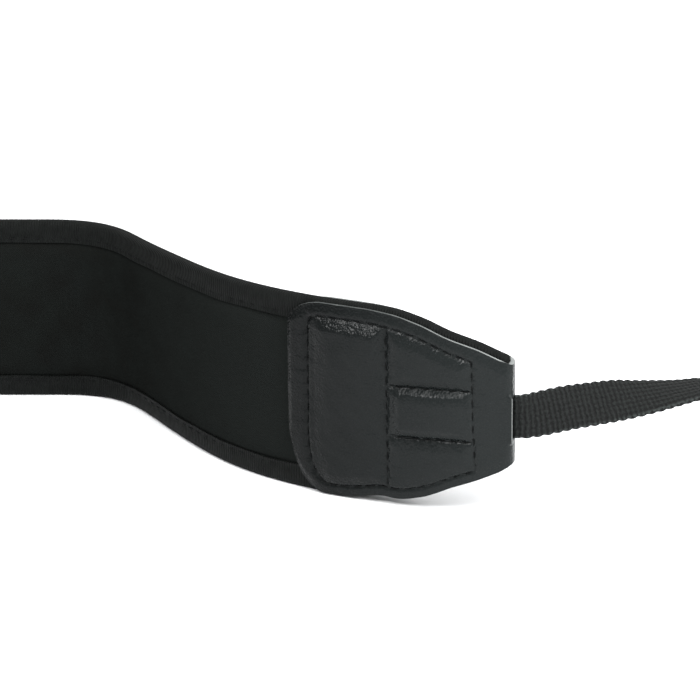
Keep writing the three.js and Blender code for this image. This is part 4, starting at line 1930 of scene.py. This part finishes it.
    def middle_line(self) -> tuple[Array, Array]:
        """Draws the whole webbing's middle line.

        Returns:
            Its points, closely spaced, and the direction across the webbing at each.
        """
        s = self.sizes
        inside = np.linspace(s.cross_seam - self.sewn, 0.8 - s.fold_outside, 60)
        band = self.band.frames(s.fold_at - np.maximum(inside, 0))
        hidden = band.centre - band.up * s.slot_drop
        hidden = hidden + band.front * self.patch.webbing_shift(inside)[:, None]
        hidden = hidden + band.along * np.maximum(-inside, 0)[:, None]
        doubled = 1 - (self.tail_length + self.tail_climb + 1) / s.webbing_run
        free, across = self.flight(np.linspace(0.002, doubled, 900))
        ahead, aside = self.end_axes
        profile = self.end_profile()
        end = np.append(self.path[-1], 0.0) + profile[:, :1] * ahead + profile[:, 1:] * UPWARD
        points = np.vstack([hidden, free, end])
        return points, np.vstack([band.up, across, np.tile(aside, (len(end), 1))])

    def build(self, rack: Rack, side: Side) -> None:
        """Makes the webbing.

        Args:
            rack: The materials.
            side: Which end of the strap it is on.
        """
        s = self.sizes
        points, across = self.middle_line()
        run = run_along(points)
        at = np.linspace(0, run[-1], int(run[-1] / self.step) + 1)
        line = read_along(at, run, points)
        ahead = unit(np.gradient(line, axis=0))
        sideways = read_along(at, run, across)
        sideways = unit(sideways - ahead * (sideways * ahead).sum(1, keepdims=True))
        place = np.linspace(1, -1, self.columns)
        place = np.sign(place) * np.abs(place) ** self.crowding
        free = smooth(at, s.cross_seam - 2, s.cross_seam + 3)
        scallop = np.abs(np.sin(pi * at / self.scallop)) - self.scallop_middle
        edge = s.webbing_width / 2 + self.scallop_depth * scallop * free
        wide = place[None, :] * edge[:, None]
        pillow = (1 - np.abs(place) ** self.flatness)[None, :]
        ribs = self.rib_height * (np.cos(2 * pi * at / self.rib) * free)[:, None]
        slack = Ripple(self.slack_seed, self.slack_length)(at[:, None], wide)
        slack = self.slack_height * slack * free[:, None]
        half = s.webbing_thickness / 2 * (self.edge_thinness + self.fullness * pillow)
        half = half + ribs * pillow
        frames = Frames(line, ahead, sideways, np.cross(sideways, ahead))
        front = frames.point(wide, slack / 2 + half)
        back = frames.point(wide, slack / 2 - half)
        sheet = Sheet()
        sheet.add_wall(front + self.shift, back + self.shift, paired(at[:, None], wide))
        webbing = sheet.build(f"{side.value}_woven_webbing", [rack.webbing], side is Side.LEFT)
        settle(webbing, (f"{side.value}_webbing",))

    def slider(self, rack: Rack, side: Side) -> None:
        """Makes the slider that holds the loop: two outer bars over the webbing, one under it.

        Args:
            rack: The materials.
            side: Which end of the strap it is on.
        """
        s = self.sizes
        ahead, aside = self.end_axes
        half = self.slider_length / 2
        bar = self.slider_bar / 2
        inner = half - self.slider_rail
        slope = np.linspace(inner, bar, 8)
        forward = np.concatenate([[-half], -slope, slope[::-1], [half]])
        open_half = s.webbing_width / 2 + s.slot_clearance
        across = np.array([-open_half - self.slider_rail, -open_half])
        across = np.concatenate([across, -across[::-1]])
        flat = forward[:, None, None] * ahead + across[None, :, None] * aside
        flat = flat + np.append(self.path[-1], 0.0) + self.shift
        drop = self.slider_drop * (1 - smooth(np.abs(forward), bar, inner))
        under = flat + (self.outer_bar_height - drop)[:, None, None] * UPWARD
        cells = len(slope) - 1
        solid = np.ones((len(forward) - 1, 3), bool)
        solid[1 : 1 + cells, 1] = False
        solid[2 + cells : 2 + 2 * cells, 1] = False
        sheet = Sheet()
        sheet.add_wall(under + self.slider_thickness * UPWARD, under,
                       paired(forward[:, None], across[None, :]), solid)
        mirror = side is Side.LEFT
        made = sheet.build(f"{side.value}_moulded_slider", [rack.acetal], mirror)
        # The moulding's edges are rounded, which also gives them a highlight
        bevel = made.modifiers.new("rounded edges", "BEVEL")
        bevel.width = self.slider_edge * MM
        bevel.segments = 4
        bevel.angle_limit = radians(50)
        settle(made, (f"{side.value}_slider",))


# The studio


@dataclass(frozen=True)
class Softbox:
    """A square lamp, in metres and watts."""

    name: str
    place: tuple[float, float, float]
    side: float
    watts: float


SOFTBOXES = (
    Softbox("overhead_softbox", (0.1, -0.3, 1.0), 0.6, 8.0),
    Softbox("left_softbox", (-0.33, -0.65, 0.78), 0.24, 6.3),
    Softbox("back_softbox", (0.1, 1.0, 1.3), 0.9, 4.5),
    Softbox("right_softbox", (0.5, -0.35, 0.33), 0.4, 3.6),
)


@dataclass
class Studio:
    """The paper sweep, the lights and the viewpoint."""

    shift: Array
    aim: tuple[float, float, float] = (151.0, -28.5, 22.0)
    distance: float = 460.7
    elevation: float = 20.5
    focal: float = 103.94
    sensor: float = 36.0
    lit: tuple[float, float, float] = (0.12, -0.05, 0.02)
    room_light: float = 0.42
    paper_reach: float = 3.0
    paper_drop: float = 0.02

    def camera(self) -> None:
        """Places the camera where the photograph was taken from."""
        data = bpy.data.cameras.new("viewpoint")
        data.lens = self.focal
        data.sensor_width = self.sensor
        data.clip_start = 0.01
        made = put_in_scene(bpy.data.objects.new("viewpoint", data))
        tilt = radians(self.elevation)
        back = np.array([0.0, -cos(tilt), sin(tilt)])
        made.location = (np.array(self.aim) + self.shift + back * self.distance) * MM
        made.rotation_euler = (pi / 2 - tilt, 0.0, 0.0)
        bpy.context.scene.camera = made

    def hang(self, box: Softbox) -> None:
        """Hangs a softbox that faces the strap.

        Args:
            box: The softbox.
        """
        data = bpy.data.lights.new(box.name, "AREA")
        data.size = box.side
        data.energy = box.watts
        made = put_in_scene(bpy.data.objects.new(box.name, data))
        made.location = box.place
        way = np.array(box.place) - np.array(self.lit)
        length = float(np.linalg.norm(way))
        turn = np.arctan2(way[0], -way[1])
        made.rotation_euler = (pi / 2 - asin(way[2] / length), 0.0, float(turn))

    def build(self, rack: Rack) -> None:
        """Lays the paper and lights it.

        Args:
            rack: The materials.
        """
        mesh = bpy.data.meshes.new("paper_sweep")
        corners = [(x * self.paper_reach, y * self.paper_reach, 0)
                   for x, y in ((-1, -1), (1, -1), (1, 1), (-1, 1))]
        mesh.from_pydata(corners, [], [(0, 1, 2, 3)])
        mesh.uv_layers.new(name="pattern")
        mesh.materials.append(rack.paper)
        paper = put_in_scene(bpy.data.objects.new("paper_sweep", mesh))
        paper.location.z = -self.paper_drop * MM
        world = bpy.data.worlds.new("white_room")
        world.use_nodes = True
        background = world.node_tree.nodes["Background"]
        background.inputs["Color"].default_value = srgb("#ffffff")
        background.inputs["Strength"].default_value = self.room_light
        bpy.context.scene.world = world
        for box in SOFTBOXES:
            self.hang(box)
        bpy.context.scene.view_settings.view_transform = "Standard"
        self.camera()


def main() -> None:
    """Builds the strap piece by piece on the frame and sets it in the studio."""
    logging.basicConfig(level=logging.INFO, format="%(name)s %(message)s")
    sizes = StrapSizes()
    band = Band(sizes)
    centred = WebbingStrap(sizes, band, EndPatch(sizes, band, np.zeros(3)), np.zeros(3))
    low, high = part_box("right_slider")
    seat = (low + high) / 2 / MM
    shift = np.array([seat.x - centred.path[-1][0], seat.y - centred.path[-1][1], 0.0])
    log.info("the frame stands %.2f, %.2f mm off the pad's middle", shift[0], shift[1])
    rack = Rack.filled()
    Studio(shift).build(rack)
    NeckPad(sizes, band, shift).build(rack)
    for edge in Edge:
        EdgeBinding(sizes, band, shift, edge).build(rack)
    for side in Side:
        turned = shift * (-1 if side is Side.LEFT else 1, 1, 1)
        patch = EndPatch(sizes, band, turned)
        patch.build(rack, side)
        strap = WebbingStrap(sizes, band, patch, turned)
        strap.build(rack, side)
        strap.slider(rack, side)


if __name__ == "__main__":
    main()
